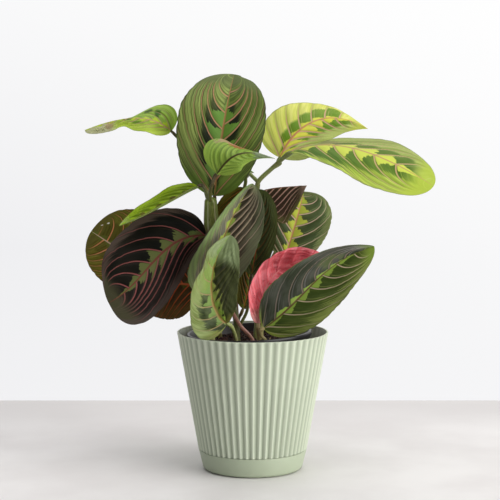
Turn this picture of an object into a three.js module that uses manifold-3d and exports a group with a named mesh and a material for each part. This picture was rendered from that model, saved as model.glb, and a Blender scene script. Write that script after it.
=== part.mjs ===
// Potted prayer plant (Maranta): a pleated cover pot on its tray, a nursery pot with soil, stems and leaves.
// Millimetres, +Z up. The cover pot's axis is Z, its foot rests on Z = 0, and -Y is the front.
import * as THREE from 'three';
import { mergeVertices } from 'three/addons/utils/BufferGeometryUtils.js';
import Module from 'manifold-3d';

const wasm = await Module();
wasm.setup();

// Pots
const CLEAR = 0.35;
const RIM_RADIUS = 70;
const RIM_HEIGHT = 127.6;
const SEAM_RADIUS = 50.5;
const SEAM_HEIGHT = 18.4;
const FOOT_RADIUS = 45.8;
const FOOT_ROUND = 3.6;
const COVER_WALL = 2.6;
const RIM_WALL = 1.8;
const TRAY_WALL = 2.4;
const COVER_FLOOR = 3;
const COVER_FLOOR_TOP = 15.5;
const PLEATS = 56;
const PLEAT_DEPTH = 1.7;
const LIP_HEIGHT = 2.4;
const LIP_PLEAT_DEPTH = 0.5;

// Nursery pot and soil, which lean a little to the left
const NURSERY_LEAN = THREE.MathUtils.degToRad(-2);
const NURSERY_FOOT = new THREE.Vector3(0.6, 0, 17.4);
const NURSERY_HEIGHT = 110;
const NURSERY_FOOT_RADIUS = 42.5;
const NURSERY_TOP_RADIUS = 56.4;
const NURSERY_LIP_RADIUS = 57.7;
const NURSERY_LIP_HEIGHT = 4.5;
const NURSERY_WALL = 1.2;
const SOIL_HEIGHT = 100.5;
const SOIL_RINGS = 5;
const SOIL_BUMP = 0.9;
const ROUND_SIDES = 48;

// Stems stand this deep in the soil
const SOIL_LEVEL = 118;
const ROOT_DEPTH = 16;
const STEM_FOOT = 2;
const STEM_SIDES = 6;
const STEM_STEP = 8;
const PETIOLE_RUN = 4;

// Leaf blades
const BLADE_THICKNESS = 0.8;
const BLADE_ROWS = 12;
const BLADE_COLUMNS = 6;
const BASE_POWER = 2.3;
const TIP_POWER = 2.2;
const WAVE_HEIGHT = 1.2;
const EDGE_WAVES = 2.5;
const EDGE_SHIFT = 0.25;
const PHASE_STEP = 0.37;

const COLOURS = {
  sage: 0xc3d3b4,
  black: 0x1d1e20,
  soil: 0x35211a,
  lime: 0x9cba2c,
  green: 0x4f7a2c,
  olive: 0x5c5f1e,
  dark: 0x24331f,
  pink: 0xc7364a,
  stalk: 0x8fa45a,
  brownStalk: 0x5d3a24,
  pinkStalk: 0xb0766a,
};

function material(colour, roughness) {
  return new THREE.MeshStandardMaterial({ color: colour, roughness, metalness: 0 });
}

function mesh(name, geometry, colour, roughness = 0.6) {
  const made = new THREE.Mesh(geometry, material(colour, roughness));
  made.name = name;
  return made;
}

function welded(geometry) {
  const bare = geometry.clone();
  bare.deleteAttribute('normal');
  bare.deleteAttribute('uv');
  return mergeVertices(bare, 1e-4);
}

function toManifold(geometry) {
  const closed = welded(geometry);
  return new wasm.Manifold(new wasm.Mesh({
    numProp: 3,
    vertProperties: new Float32Array(closed.attributes.position.array),
    triVerts: new Uint32Array(closed.index.array),
  }));
}

function fromManifold(solid) {
  const made = solid.getMesh();
  const geometry = new THREE.BufferGeometry();
  geometry.setAttribute('position', new THREE.BufferAttribute(new Float32Array(made.vertProperties), 3));
  geometry.setIndex(new THREE.BufferAttribute(new Uint32Array(made.triVerts), 1));
  geometry.computeVertexNormals();
  return geometry;
}

// A turned solid about Z from [radius, height] points that start and end on the axis
function turned(profile, sides) {
  const points = profile.map(([radius, height]) => new THREE.Vector2(radius, height));
  return new THREE.LatheGeometry(points, sides).rotateX(Math.PI / 2);
}

// Radius of the outer wall, straight from the seam to the rim
function coverRadius(height) {
  const share = (height - SEAM_HEIGHT) / (RIM_HEIGHT - SEAM_HEIGHT);
  return SEAM_RADIUS + share * (RIM_RADIUS - SEAM_RADIUS);
}

function trayRadius(height) {
  return FOOT_RADIUS + (SEAM_RADIUS - FOOT_RADIUS) * height / SEAM_HEIGHT;
}

function pleatDepth(height) {
  const lipShare = THREE.MathUtils.clamp((RIM_HEIGHT - height) / LIP_HEIGHT, 0, 1);
  return THREE.MathUtils.lerp(LIP_PLEAT_DEPTH, PLEAT_DEPTH, lipShare);
}

// Every second vertex column of the outer wall is drawn in to a valley
function fold(geometry) {
  const position = geometry.attributes.position;
  const point = new THREE.Vector3();
  for (let i = 0; i < position.count; i += 1) {
    point.fromBufferAttribute(position, i);
    const radius = Math.hypot(point.x, point.y);
    const turn = Math.atan2(point.y, point.x) / (2 * Math.PI) * 2 * PLEATS;
    const valley = Math.abs(Math.round(turn)) % 2 === 1;
    const outside = point.z > SEAM_HEIGHT - 0.1 && radius > coverRadius(point.z) - 0.1;
    if (valley && outside) {
      const shrink = (radius - pleatDepth(point.z)) / radius;
      position.setXYZ(i, point.x * shrink, point.y * shrink, point.z);
    }
  }
  return geometry;
}

function coverPot() {
  const spigot = (height) => trayRadius(height) - TRAY_WALL - CLEAR;
  const underside = COVER_FLOOR_TOP - COVER_FLOOR;
  const profile = [
    [0, underside],
    [spigot(underside) - COVER_FLOOR, underside],
    [spigot(TRAY_WALL) - COVER_FLOOR, TRAY_WALL + CLEAR],
    [spigot(TRAY_WALL), TRAY_WALL + CLEAR],
    [spigot(SEAM_HEIGHT), SEAM_HEIGHT],
    [coverRadius(SEAM_HEIGHT), SEAM_HEIGHT],
    [coverRadius(RIM_HEIGHT - LIP_HEIGHT), RIM_HEIGHT - LIP_HEIGHT],
    [RIM_RADIUS, RIM_HEIGHT],
    [RIM_RADIUS - RIM_WALL, RIM_HEIGHT],
    [coverRadius(COVER_FLOOR_TOP) - PLEAT_DEPTH - COVER_WALL, COVER_FLOOR_TOP],
    [0, COVER_FLOOR_TOP],
  ];
  return fold(turned(profile, 2 * PLEATS));
}

function baseTray() {
  const top = SEAM_HEIGHT - CLEAR;
  const cornerSteps = 4;
  const corner = Array.from({ length: cornerSteps + 1 }, (_, i) => {
    const angle = (i / cornerSteps) * Math.PI / 2;
    return [
      trayRadius(FOOT_ROUND) - FOOT_ROUND * (1 - Math.sin(angle)),
      FOOT_ROUND * (1 - Math.cos(angle)),
    ];
  });
  const profile = [
    [0, 0],
    ...corner,
    [trayRadius(top), top],
    [trayRadius(top) - TRAY_WALL, top],
    [trayRadius(TRAY_WALL) - TRAY_WALL, TRAY_WALL],
    [0, TRAY_WALL],
  ];
  return turned(profile, ROUND_SIDES);
}

function leaning(geometry) {
  return geometry.rotateY(NURSERY_LEAN).translate(...NURSERY_FOOT.toArray());
}

function nurseryRadius(height) {
  return THREE.MathUtils.lerp(NURSERY_FOOT_RADIUS, NURSERY_TOP_RADIUS, height / NURSERY_HEIGHT);
}

function nurseryPot() {
  const lipFoot = NURSERY_HEIGHT - NURSERY_LIP_HEIGHT;
  const profile = [
    [0, 0],
    [NURSERY_FOOT_RADIUS, 0],
    [nurseryRadius(lipFoot), lipFoot],
    [NURSERY_LIP_RADIUS, lipFoot],
    [NURSERY_LIP_RADIUS, NURSERY_HEIGHT],
    [NURSERY_TOP_RADIUS - NURSERY_WALL, NURSERY_HEIGHT],
    [NURSERY_FOOT_RADIUS - NURSERY_WALL, NURSERY_WALL],
    [0, NURSERY_WALL],
  ];
  return leaning(turned(profile, ROUND_SIDES));
}

// Crumbs of soil as a sum of waves over the flat top
function crumb(x, y) {
  return Math.sin(0.31 * x + 0.5) * Math.cos(0.27 * y) + 0.6 * Math.sin(0.17 * x - 0.41 * y);
}

function soilBlock() {
  const gap = NURSERY_WALL + CLEAR;
  const bottom = NURSERY_WALL + CLEAR;
  const topRadius = nurseryRadius(SOIL_HEIGHT) - gap;
  const ring = (i) => [topRadius * (1 - i / SOIL_RINGS), SOIL_HEIGHT];
  const rings = Array.from({ length: SOIL_RINGS }, (_, i) => ring(i + 1));
  const profile = [[0, bottom], [nurseryRadius(bottom) - gap, bottom], [topRadius, SOIL_HEIGHT], ...rings];
  const geometry = turned(profile, ROUND_SIDES);
  const position = geometry.attributes.position;
  for (let i = 0; i < position.count; i += 1) {
    const [x, y, z] = [position.getX(i), position.getY(i), position.getZ(i)];
    const inside = Math.hypot(x, y) < topRadius - 1;
    if (z > SOIL_HEIGHT - 0.1 && inside) position.setZ(i, z + SOIL_BUMP * crumb(x, y));
  }
  return leaning(geometry);
}

// A round stalk along hand-set points, with its radius set at the foot and the tip
function stalk({ path, radii }, grow = 0) {
  const points = path.map((p) => new THREE.Vector3(...p));
  const curve = new THREE.CatmullRomCurve3(points, false, 'centripetal');
  const steps = Math.max(3, Math.round(curve.getLength() / STEM_STEP));
  const frames = curve.computeFrenetFrames(steps, false);
  const positions = [];
  for (let i = 0; i <= steps; i += 1) {
    const centre = curve.getPointAt(i / steps);
    if (i === 0) centre.addScaledVector(frames.tangents[0], -grow);
    const radius = THREE.MathUtils.lerp(radii[0], radii[1], i / steps) + grow;
    for (let k = 0; k < STEM_SIDES; k += 1) {
      const angle = (k / STEM_SIDES) * 2 * Math.PI;
      const side = frames.normals[i].clone().multiplyScalar(Math.cos(angle));
      side.addScaledVector(frames.binormals[i], Math.sin(angle));
      positions.push(...centre.clone().addScaledVector(side, radius).toArray());
    }
  }
  const last = (steps + 1) * STEM_SIDES;
  positions.push(...curve.getPointAt(0).addScaledVector(frames.tangents[0], -grow).toArray());
  positions.push(...curve.getPointAt(1).toArray());
  const index = [];
  for (let k = 0; k < STEM_SIDES; k += 1) {
    const next = (k + 1) % STEM_SIDES;
    for (let i = 0; i < steps; i += 1) {
      const [a, b] = [i * STEM_SIDES + k, i * STEM_SIDES + next];
      index.push(a, b, b + STEM_SIDES, a, b + STEM_SIDES, a + STEM_SIDES);
    }
    index.push(last, next, k);
    index.push(last + 1, steps * STEM_SIDES + k, steps * STEM_SIDES + next);
  }
  const geometry = new THREE.BufferGeometry();
  geometry.setAttribute('position', new THREE.Float32BufferAttribute(positions, 3));
  geometry.setIndex(index);
  return geometry;
}

function joined(solids) {
  return solids.reduce((whole, solid) => whole.add(solid));
}

// A value, or two to four of them blended as Bezier weights from the base to the tip
function along(values, t) {
  const list = Array.isArray(values) ? values : [values];
  const s = 1 - t;
  if (list.length === 1) return list[0];
  if (list.length === 2) return s * list[0] + t * list[1];
  if (list.length === 3) return s * s * list[0] + 2 * s * t * list[1] + t * t * list[2];
  return s ** 3 * list[0] + 3 * s * s * t * list[1] + 3 * s * t * t * list[2] + t ** 3 * list[3];
}

function alongVector(vectors, t) {
  return new THREE.Vector3(...[0, 1, 2].map((axis) => along(vectors.map((v) => v[axis]), t)));
}

// Half width of the blade, 0 at the base and the tip and 1 where it is widest
function outline(t, widest, point) {
  if (t < widest) return Math.sqrt(Math.max(0, 1 - ((widest - t) / widest) ** BASE_POWER));
  return Math.max(0, 1 - ((t - widest) / (1 - widest)) ** TIP_POWER) ** point;
}

// Across and up, for a half that leaves the midrib at one angle and turns evenly towards its margin
function section(foldDegrees, curlDegrees, share) {
  const start = THREE.MathUtils.degToRad(foldDegrees);
  const turn = THREE.MathUtils.degToRad(curlDegrees) || 1e-3;
  return [
    (Math.sin(start + turn * share) - Math.sin(start)) / turn,
    (Math.cos(start) - Math.cos(start + turn * share)) / turn,
  ];
}

function sideValue(value, right) {
  return Array.isArray(value) ? value[right ? 1 : 0] : value;
}

// A point of the blade's middle surface, with t from base to tip and u from the left margin to the right
function bladePoint(leaf, t, u, phase) {
  const step = 1e-3;
  const centre = alongVector(leaf.rib, t);
  const ahead = alongVector(leaf.rib, Math.min(1, t + step));
  const tangent = ahead.sub(alongVector(leaf.rib, Math.max(0, t - step))).normalize();
  const faces = leaf.face.map((v) => new THREE.Vector3(...v).normalize().toArray());
  const up = alongVector(faces, t);
  up.addScaledVector(tangent, -up.dot(tangent)).normalize();
  const right = new THREE.Vector3().crossVectors(tangent, up);
  const onRight = u >= 0;
  const share = Math.abs(u);
  const width = outline(t, sideValue(leaf.widest, onRight), sideValue(leaf.point, onRight));
  const half = width * leaf.half[onRight ? 1 : 0];
  const foldHere = along(leaf.fold[onRight ? 1 : 0], t);
  const [across, rise] = section(foldHere, leaf.curl[onRight ? 1 : 0], share);
  const wave = Math.sin(2 * Math.PI * (EDGE_WAVES * t + phase + EDGE_SHIFT * Math.sign(u)));
  return centre
    .addScaledVector(right, (onRight ? 1 : -1) * half * across)
    .addScaledVector(up, half * rise + leaf.wave * width * share * share * wave);
}

function bladeNormal(leaf, t, u, phase) {
  const step = 0.004;
  const inner = THREE.MathUtils.clamp(t, 0.02, 0.98);
  const side = THREE.MathUtils.clamp(u, -1 + step, 1 - step);
  const point = (alongShare, acrossShare) => bladePoint(leaf, alongShare, acrossShare, phase);
  const forward = point(inner + step, side).sub(point(inner - step, side));
  const across = point(inner, side + step).sub(point(inner, side - step));
  return across.cross(forward).normalize();
}

// A closed blade: the same grid on the upper and the lower face, joined round the margin
function blade(leaf, phase) {
  const positions = [];
  const rows = [];
  for (let i = 0; i <= BLADE_ROWS; i += 1) {
    const t = (1 - Math.cos(Math.PI * i / BLADE_ROWS)) / 2;
    const atEnd = i === 0 || i === BLADE_ROWS;
    const row = [];
    for (let k = 0; k <= BLADE_COLUMNS; k += 1) {
      if (atEnd && k > 0) {
        row.push(row[0]);
      } else {
        const u = atEnd ? 0 : 2 * k / BLADE_COLUMNS - 1;
        const centre = bladePoint(leaf, t, u, phase);
        const normal = bladeNormal(leaf, t, u, phase).multiplyScalar(BLADE_THICKNESS / 2);
        row.push(positions.length / 3);
        positions.push(...centre.clone().add(normal).toArray(), ...centre.clone().sub(normal).toArray());
      }
    }
    rows.push(row);
  }
  const index = [];
  const face = (a, b, c) => {
    if (a !== b && b !== c && a !== c) index.push(a, b, c, a + 1, c + 1, b + 1);
  };
  const wall = (a, b) => index.push(a, b, b + 1, a, b + 1, a + 1);
  for (let i = 0; i < BLADE_ROWS; i += 1) {
    const [low, high] = [rows[i], rows[i + 1]];
    for (let k = 0; k < BLADE_COLUMNS; k += 1) {
      if (k < BLADE_COLUMNS / 2) {
        face(low[k], low[k + 1], high[k + 1]);
        face(low[k], high[k + 1], high[k]);
      } else {
        face(low[k], low[k + 1], high[k]);
        face(low[k + 1], high[k + 1], high[k]);
      }
    }
    wall(low[0], high[0]);
    wall(high[BLADE_COLUMNS], low[BLADE_COLUMNS]);
  }
  const geometry = new THREE.BufferGeometry();
  geometry.setAttribute('position', new THREE.Float32BufferAttribute(positions, 3));
  geometry.setIndex(index);
  return geometry;
}

// Leaves. rib: Bezier points of the midrib from base to tip. half: width of the left and the right half.
// face: the way the upper face looks at the base and the tip. fold and curl: degrees for each half.
const LEAVES = {
  leaf_crown: {
    rib: [[-35, 0, 253], [-30, -12, 299], [-25, -18, 332], [-17, 12, 364]],
    half: [43, 38], face: [[0, -1, 0.1], [0.05, -1, 0.35], [0, -0.7, 0.8]],
    widest: 0.56, point: 0.44, fold: [10, 10], curl: [-22, -22], colour: 'green',
  },
  leaf_curled: {
    rib: [[-32, -34, 275], [-21, -46, 289], [-14, -47, 301], [20, -26, 288]],
    half: [15, 28], face: [[0.1, 1, 0.05], [0.1, 1, 0]],
    widest: [0.35, 0.3], point: 1.3, fold: [15, [-10, 60, 95]], curl: [10, 10], wave: 0.5, colour: 'lime',
  },
  leaf_far_left: {
    rib: [[-75, 10, 312], [-94, 2, 330], [-122, 0, 326], [-154, 4, 313]],
    half: [14, 24], face: [[0.2, -1, 0.3], [0, -1, 0.6]],
    widest: [0.3, 0.26], point: [0.4, 0.5], fold: [10, [20, -110, -60]], curl: [0, 0], colour: 'lime',
  },
  leaf_young_left: {
    rib: [[-50, -9, 262], [-63, -16, 257], [-93, -23, 237], [-120, -34, 228]],
    half: [12, 16], face: [[-0.2, -0.9, 0.6], [-0.2, -0.9, 0.6]],
    widest: 0.42, point: 0.8, fold: [60, -10], curl: [0, 0], colour: 'lime',
  },
  leaf_upper_right: {
    rib: [[25, 2, 288], [36, 3, 314], [64, 14, 339], [107, 24, 314]],
    half: [35, 28], face: [[-0.3, -1, 0.4], [0, -0.7, 0.7]],
    widest: 0.34, point: 1, fold: [[5, -32], -45], curl: [0, 0], colour: 'lime',
  },
  leaf_far_right: {
    rib: [[35, -14, 293], [68, -29, 310], [110, -49, 297], [159, -58, 265]],
    half: [32, 35], face: [[0.1, -0.8, 0.7], [0.2, -0.9, 0.5]],
    widest: [0.6, 0.62], point: 0.5, fold: [[-50, -10], [50, 0, 0]], curl: [0, 0], colour: 'lime',
  },
  leaf_folded: {
    rib: [[8, 14, 257], [20, 12, 261], [34, 10, 261], [50, 8, 262]],
    half: [16, 34], face: [[0, -0.2, 1], [0, -0.2, 1]],
    widest: 0.45, point: 1.2, fold: [-28, -62], curl: [0, 0], colour: 'dark',
  },
  leaf_mid_right: {
    rib: [[30, 24, 193], [37, 18, 217], [47, 25, 246], [47, 34, 255]],
    half: [28, 32], face: [[0.1, -1, 0.2], [0.1, -1, 0.4]],
    widest: 0.55, point: 0.5, fold: [8, 8], curl: [-10, -10], colour: 'dark',
  },
  leaf_centre: {
    rib: [[-46, -22, 163], [-30, -28, 208], [-20, -29, 240], [0, -14, 265]],
    half: [24, 32], face: [[0.2, -1, 0.2], [-0.2, -1, 0.3]],
    widest: [0.26, 0.5], point: [0.8, 0.6], fold: [[0, 75, 80], 5], curl: [0, 0], colour: 'dark',
  },
  leaf_dark_left: {
    rib: [[-43, -6, 217], [-84, -19, 221], [-95, -36, 176], [-129, -46, 160]],
    half: [34, 41], face: [[0, -1, 0.3], [0, -1, 0.3]],
    widest: [0.8, 0.55], point: [0.33, 0.5], fold: [[-25, -35, 0], 0], curl: [0, 0], colour: 'dark',
  },
  leaf_back_left: {
    rib: [[-83, 22, 172], [-105, 29, 187], [-131, 32, 204], [-153, 42, 217]],
    half: [34, 44], face: [[0, -1, 0.2], [0, -1, 0.2]],
    widest: 0.5, point: 0.5, fold: [0, 0], curl: [0, 0], colour: 'olive',
  },
  leaf_low_left: {
    rib: [[-44, 8, 166], [-69, 8, 176], [-96, 9, 169], [-113, 0, 159]],
    half: [33, 30], face: [[0, -1, 0.1], [0, -1, 0.1]],
    widest: 0.42, point: 0.5, fold: [0, 0], curl: [0, 0], colour: 'olive',
  },
  leaf_front_left: {
    rib: [[-23, -38, 140], [-41, -46, 152], [-44, -58, 193], [-20, -36, 220]],
    half: [30, 25], face: [[0.1, -1, 0.1], [0.1, -1, 0.2]],
    widest: [0.25, 0.6], point: [1, 0.5], fold: [[0, 70, 40], [45, 0, 30]], curl: [0, 0], colour: 'green',
  },
  leaf_pink: {
    rib: [[5, -22, 138], [8, -29, 173], [14, -27, 196], [64, -16, 198]],
    half: [22, 18], face: [[-0.1, 1, -0.1], [-0.1, 1, 0]],
    widest: [0.5, 0.64], point: 0.6, fold: [5, -30], curl: [0, 0], colour: 'pink',
  },
  leaf_front_right: {
    rib: [[10, -27, 134], [51, -34, 164], [57, -44, 195], [108, -48, 211]],
    half: [30, 31], face: [[0, -1, 0.2], [0, -1, 0.2]],
    widest: [0.36, 0.45], point: [0.8, 0.5], fold: [[15, 60], 10], curl: [0, 0], colour: 'dark',
  },
  leaf_centre_back: {
    rib: [[-1, 2, 180], [3, 3, 207], [13, -8, 238], [5, -4, 259]],
    half: [18, 17], face: [[0, -1, 0.1], [0, -1, 0.2]],
    widest: 0.5, point: 0.6, fold: [0, 20], curl: [0, 0], colour: 'olive',
  },
  leaf_low_back: {
    rib: [[-9, 12, 147], [-2, 16, 166], [-1, 13, 188], [4, 14, 209]],
    half: [13, 13], face: [[0.3, -1, 0.1], [0.3, -1, 0.2]],
    widest: 0.5, point: 0.6, fold: [0, 0], curl: [0, 0], colour: 'olive',
  },
  leaf_dark_back: {
    rib: [[-8, 12, 260], [-14, 17, 242], [-24, 18, 222], [-30, 16, 198]],
    half: [12, 18], face: [[0, -1, -0.1], [0, -1, -0.1]],
    widest: 0.5, point: 0.6, fold: [0, 0], curl: [0, 0], colour: 'dark',
  },
  leaf_rear_high: {
    rib: [[-8, 34, 275], [-15, 60, 295], [-32, 76, 317], [-39, 66, 329]],
    half: [30, 30], face: [[0, 0.6, 0.8], [0, 1, 0.3]],
    widest: 0.5, point: 0.5, fold: [10, 10], curl: [-10, -10], colour: 'green',
  },
  leaf_rear_left: {
    rib: [[-63, 40, 182], [-79, 62, 200], [-104, 85, 214], [-121, 98, 186]],
    half: [28, 28], face: [[-0.2, 0.3, 1], [-0.5, 0.8, 0.5]],
    widest: 0.5, point: 0.5, fold: [8, 8], curl: [-10, -10], colour: 'green',
  },
  leaf_rear_right: {
    rib: [[32, 48, 212], [42, 69, 231], [52, 95, 227], [63, 110, 209]],
    half: [27, 27], face: [[0.1, 0.1, 1], [0.3, 0.8, 0.6]],
    widest: 0.5, point: 0.5, fold: [8, 8], curl: [-10, -10], colour: 'green',
  },
  leaf_rear_low: {
    rib: [[-29, 42, 159], [-30, 64, 173], [-37, 95, 179], [-40, 108, 151]],
    half: [29, 29], face: [[0, 0.1, 1], [-0.1, 0.8, 0.6]],
    widest: 0.5, point: 0.5, fold: [8, 8], curl: [-10, -10], colour: 'green',
  },
  leaf_rear_mid: {
    rib: [[-22, 46, 212], [-21, 71, 228], [-24, 93, 232], [-20, 112, 210]],
    half: [30, 30], face: [[0, 0.1, 1], [0.1, 0.8, 0.6]],
    widest: 0.5, point: 0.5, fold: [8, 8], curl: [-10, -10], colour: 'dark',
  },
};

// The point just short of a leaf's base, where its petiole ends, and one further back along the midrib
function petioleEnd(name) {
  const { rib } = LEAVES[name];
  const base = new THREE.Vector3(...rib[0]);
  const back = base.clone().sub(new THREE.Vector3(...rib[1])).normalize();
  const end = base.clone().addScaledVector(back, CLEAR);
  const before = base.clone().addScaledVector(back, PETIOLE_RUN);
  return [before.toArray(), end.toArray()];
}

function rooted(x, y) {
  return [[x, y, SOIL_LEVEL - ROOT_DEPTH], [x, y, SOIL_LEVEL + STEM_FOOT]];
}

// Stems. Each branch is a path of hand-set points; a leaf's name ends the path at that leaf's base.
const STEMS = {
  stem_tall_left: {
    colour: 'brownStalk',
    root: [-14, -8],
    branches: [
      {
        path: [
          [-15, -6, 136], [-21, -1, 165], [-29, 3, 192],
          [-36, 3, 216], [-38, -3, 236], [-38.5, -7, 248],
        ],
        radii: [2.8, 2.8], rooted: true,
      },
      { path: [[-37, 1, 218], [-38, -2, 230], [-38.3, -4, 238], [-38.5, -8, 252]], radii: [8, 5.5] },
      { path: [[-38, -3, 238], [-37, 1, 244]], radii: [2, 1.5], leaf: 'leaf_crown' },
      {
        path: [[-38.5, -7, 246], [-38.6, -20, 257], [-36.2, -30, 266]],
        radii: [2, 1.4], leaf: 'leaf_curled',
      },
      { path: [[-38.5, -7, 246], [-42, -11.5, 257]], radii: [1.8, 1.3], leaf: 'leaf_young_left' },
      { path: [[-37, 1, 230], [-42, 14, 250], [-54, 20, 284]], radii: [2, 1.1], leaf: 'leaf_far_left' },
      { path: [[-31, 3, 200], [-34.5, -1, 212]], radii: [2, 1.5], leaf: 'leaf_dark_left' },
      {
        path: [[-15, -6, 128], [-10, -3, 137], [-5.5, -1, 146], [-3, 0, 162]],
        radii: [1.6, 1.3], leaf: 'leaf_centre_back',
      },
    ],
  },
  stem_tall_right: {
    colour: 'stalk',
    root: [3, 8],
    branches: [
      {
        path: [
          [4, 18, 140], [0, 23, 165], [-1, 24, 195], [1, 17, 225],
          [3, 9, 245], [4, 1, 258], [5, -4, 266],
        ],
        radii: [2.6, 2.3], rooted: true,
      },
      { path: [[4, 1, 258], [5, -4, 266], [18, -7, 279]], radii: [2.2, 1.9], leaf: 'leaf_far_right' },
      { path: [[18, -7, 279], [25, -5, 283]], radii: [1.9, 1.5], leaf: 'leaf_upper_right' },
      {
        path: [[5, -4, 266], [0, 1, 270.5], [-3.5, 6, 273.5], [-6, 10, 270]],
        radii: [1.9, 1.2], leaf: 'leaf_dark_back',
      },
      {
        path: [[0, 1, 270.5], [-3.5, 9, 273], [-5, 22, 270]],
        radii: [1.7, 1.3], leaf: 'leaf_rear_high',
      },
      { path: [[1, 17, 225], [5, 16, 238], [4.5, 15.5, 250]], radii: [1.6, 1.3], leaf: 'leaf_folded' },
    ],
  },
  stem_rear_left: {
    colour: 'stalk',
    root: [-31, 28],
    branches: [
      {
        path: [[-33, 31, 138], [-42, 32, 157], [-54, 33, 173]],
        radii: [2.4, 1.4], rooted: true, leaf: 'leaf_rear_left',
      },
      { path: [[-33, 31, 136], [-29, 33, 148]], radii: [1.8, 1.4], leaf: 'leaf_rear_low' },
    ],
  },
  stem_rear_mid: {
    colour: 'brownStalk',
    root: [-14, 20],
    branches: [
      {
        path: [[-15, 24, 140], [-17, 28, 170], [-20, 34, 196]],
        radii: [2.4, 1.4], rooted: true, leaf: 'leaf_rear_mid',
      },
      { path: [[-14.5, 21, 128], [-13, 17, 137]], radii: [1.6, 1.2], leaf: 'leaf_low_back' },
      {
        path: [[-15, 24, 140], [-25, 23, 151], [-46, 20, 160], [-68, 19, 165]],
        radii: [1.8, 1.4], leaf: 'leaf_back_left',
      },
    ],
  },
  stem_rear_right: {
    colour: 'stalk',
    root: [8, 24],
    branches: [
      {
        path: [[9, 28, 145], [12, 33, 172], [20, 38, 195]],
        radii: [2.3, 1.4], rooted: true, leaf: 'leaf_rear_right',
      },
      { path: [[11, 32, 165], [19, 31, 176]], radii: [1.8, 1.4], leaf: 'leaf_mid_right' },
    ],
  },
  stalk_centre: {
    colour: 'stalk',
    root: [-36, -15],
    branches: [
      {
        path: [[-38, -15, 132], [-45, -18, 148]],
        radii: [1.9, 1.5], rooted: true, leaf: 'leaf_centre',
      },
    ],
  },
  stalk_low_left: {
    colour: 'pinkStalk',
    root: [0, -10],
    branches: [
      {
        path: [[-4, -9, 126], [-11, -12, 134], [-18, -12, 146], [-26, -4, 156]],
        radii: [1.9, 1.3], rooted: true, leaf: 'leaf_low_left',
      },
    ],
  },
  stalk_front_left: {
    colour: 'stalk',
    root: [-15, -24],
    branches: [{ path: [[-16, -29, 128]], radii: [2, 1.5], rooted: true, leaf: 'leaf_front_left' }],
  },
  stalk_pink: {
    colour: 'stalk',
    root: [6, -16],
    branches: [{ path: [[5.5, -18, 127]], radii: [2.7, 1.6], rooted: true, leaf: 'leaf_pink' }],
  },
  stalk_front_right: {
    colour: 'stalk',
    root: [13, -22],
    branches: [
      { path: [[8, -25, 127]], radii: [2, 1.5], rooted: true, leaf: 'leaf_front_right' },
      { path: [[13, -22, 112], [15, -20, 119], [16, -19, 125]], radii: [1.6, 0.5] },
    ],
  },
};

// The whole path of a branch, from its root or its joint to its leaf
function fullPath(branch, root) {
  const start = branch.rooted ? rooted(...root) : [];
  const finish = branch.leaf ? petioleEnd(branch.leaf) : [];
  return { path: [...start, ...branch.path, ...finish], radii: branch.radii };
}

function stemSolid({ root, branches }, grow = 0) {
  return joined(branches.map((branch) => toManifold(stalk(fullPath(branch, root), grow))));
}

function soilWithHoles() {
  const holes = joined(Object.values(STEMS).map((stem) => stemSolid(stem, CLEAR)));
  return fromManifold(toManifold(soilBlock()).subtract(holes));
}

const plant = new THREE.Group();
plant.add(mesh('cover_pot', coverPot(), COLOURS.sage));
plant.add(mesh('base_tray', baseTray(), COLOURS.sage));
plant.add(mesh('nursery_pot', nurseryPot(), COLOURS.black, 0.4));
plant.add(mesh('soil', soilWithHoles(), COLOURS.soil, 0.95));
for (const [name, stem] of Object.entries(STEMS)) {
  plant.add(mesh(name, fromManifold(stemSolid(stem)), COLOURS[stem.colour]));
}
Object.entries(LEAVES).forEach(([name, leaf], i) => {
  const full = { wave: WAVE_HEIGHT, ...leaf };
  plant.add(mesh(name, blade(full, i * PHASE_STEP), COLOURS[leaf.colour], 0.5));
});

export default plant;
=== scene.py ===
# Looks of the potted prayer plant: detailed pots, soil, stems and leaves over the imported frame.
# Lengths are millimetres, turned into metres when a mesh is made. -Y is the front.
import math

import bpy
import numpy as np
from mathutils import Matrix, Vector


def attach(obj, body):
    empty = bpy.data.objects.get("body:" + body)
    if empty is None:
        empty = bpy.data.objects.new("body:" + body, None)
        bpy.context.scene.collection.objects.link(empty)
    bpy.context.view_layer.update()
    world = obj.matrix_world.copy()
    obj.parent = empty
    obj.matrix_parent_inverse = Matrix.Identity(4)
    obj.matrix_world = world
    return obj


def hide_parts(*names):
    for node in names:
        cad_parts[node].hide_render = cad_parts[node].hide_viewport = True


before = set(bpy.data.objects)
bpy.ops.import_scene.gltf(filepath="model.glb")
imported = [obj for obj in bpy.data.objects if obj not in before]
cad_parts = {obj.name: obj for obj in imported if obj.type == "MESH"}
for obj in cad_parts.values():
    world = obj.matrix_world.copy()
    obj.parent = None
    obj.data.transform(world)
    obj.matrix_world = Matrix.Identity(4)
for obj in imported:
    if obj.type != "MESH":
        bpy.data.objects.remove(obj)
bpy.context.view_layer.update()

MM = 0.001
TURN = 2 * math.pi

# Camera, fitted to the photograph
CAMERA_PLACE = (-2.5, -1400, 336.8)
CAMERA_AIM = (-2.5, 0, 203.1)
CAMERA_LENS = 109.9
CAMERA_SENSOR = 36

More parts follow.
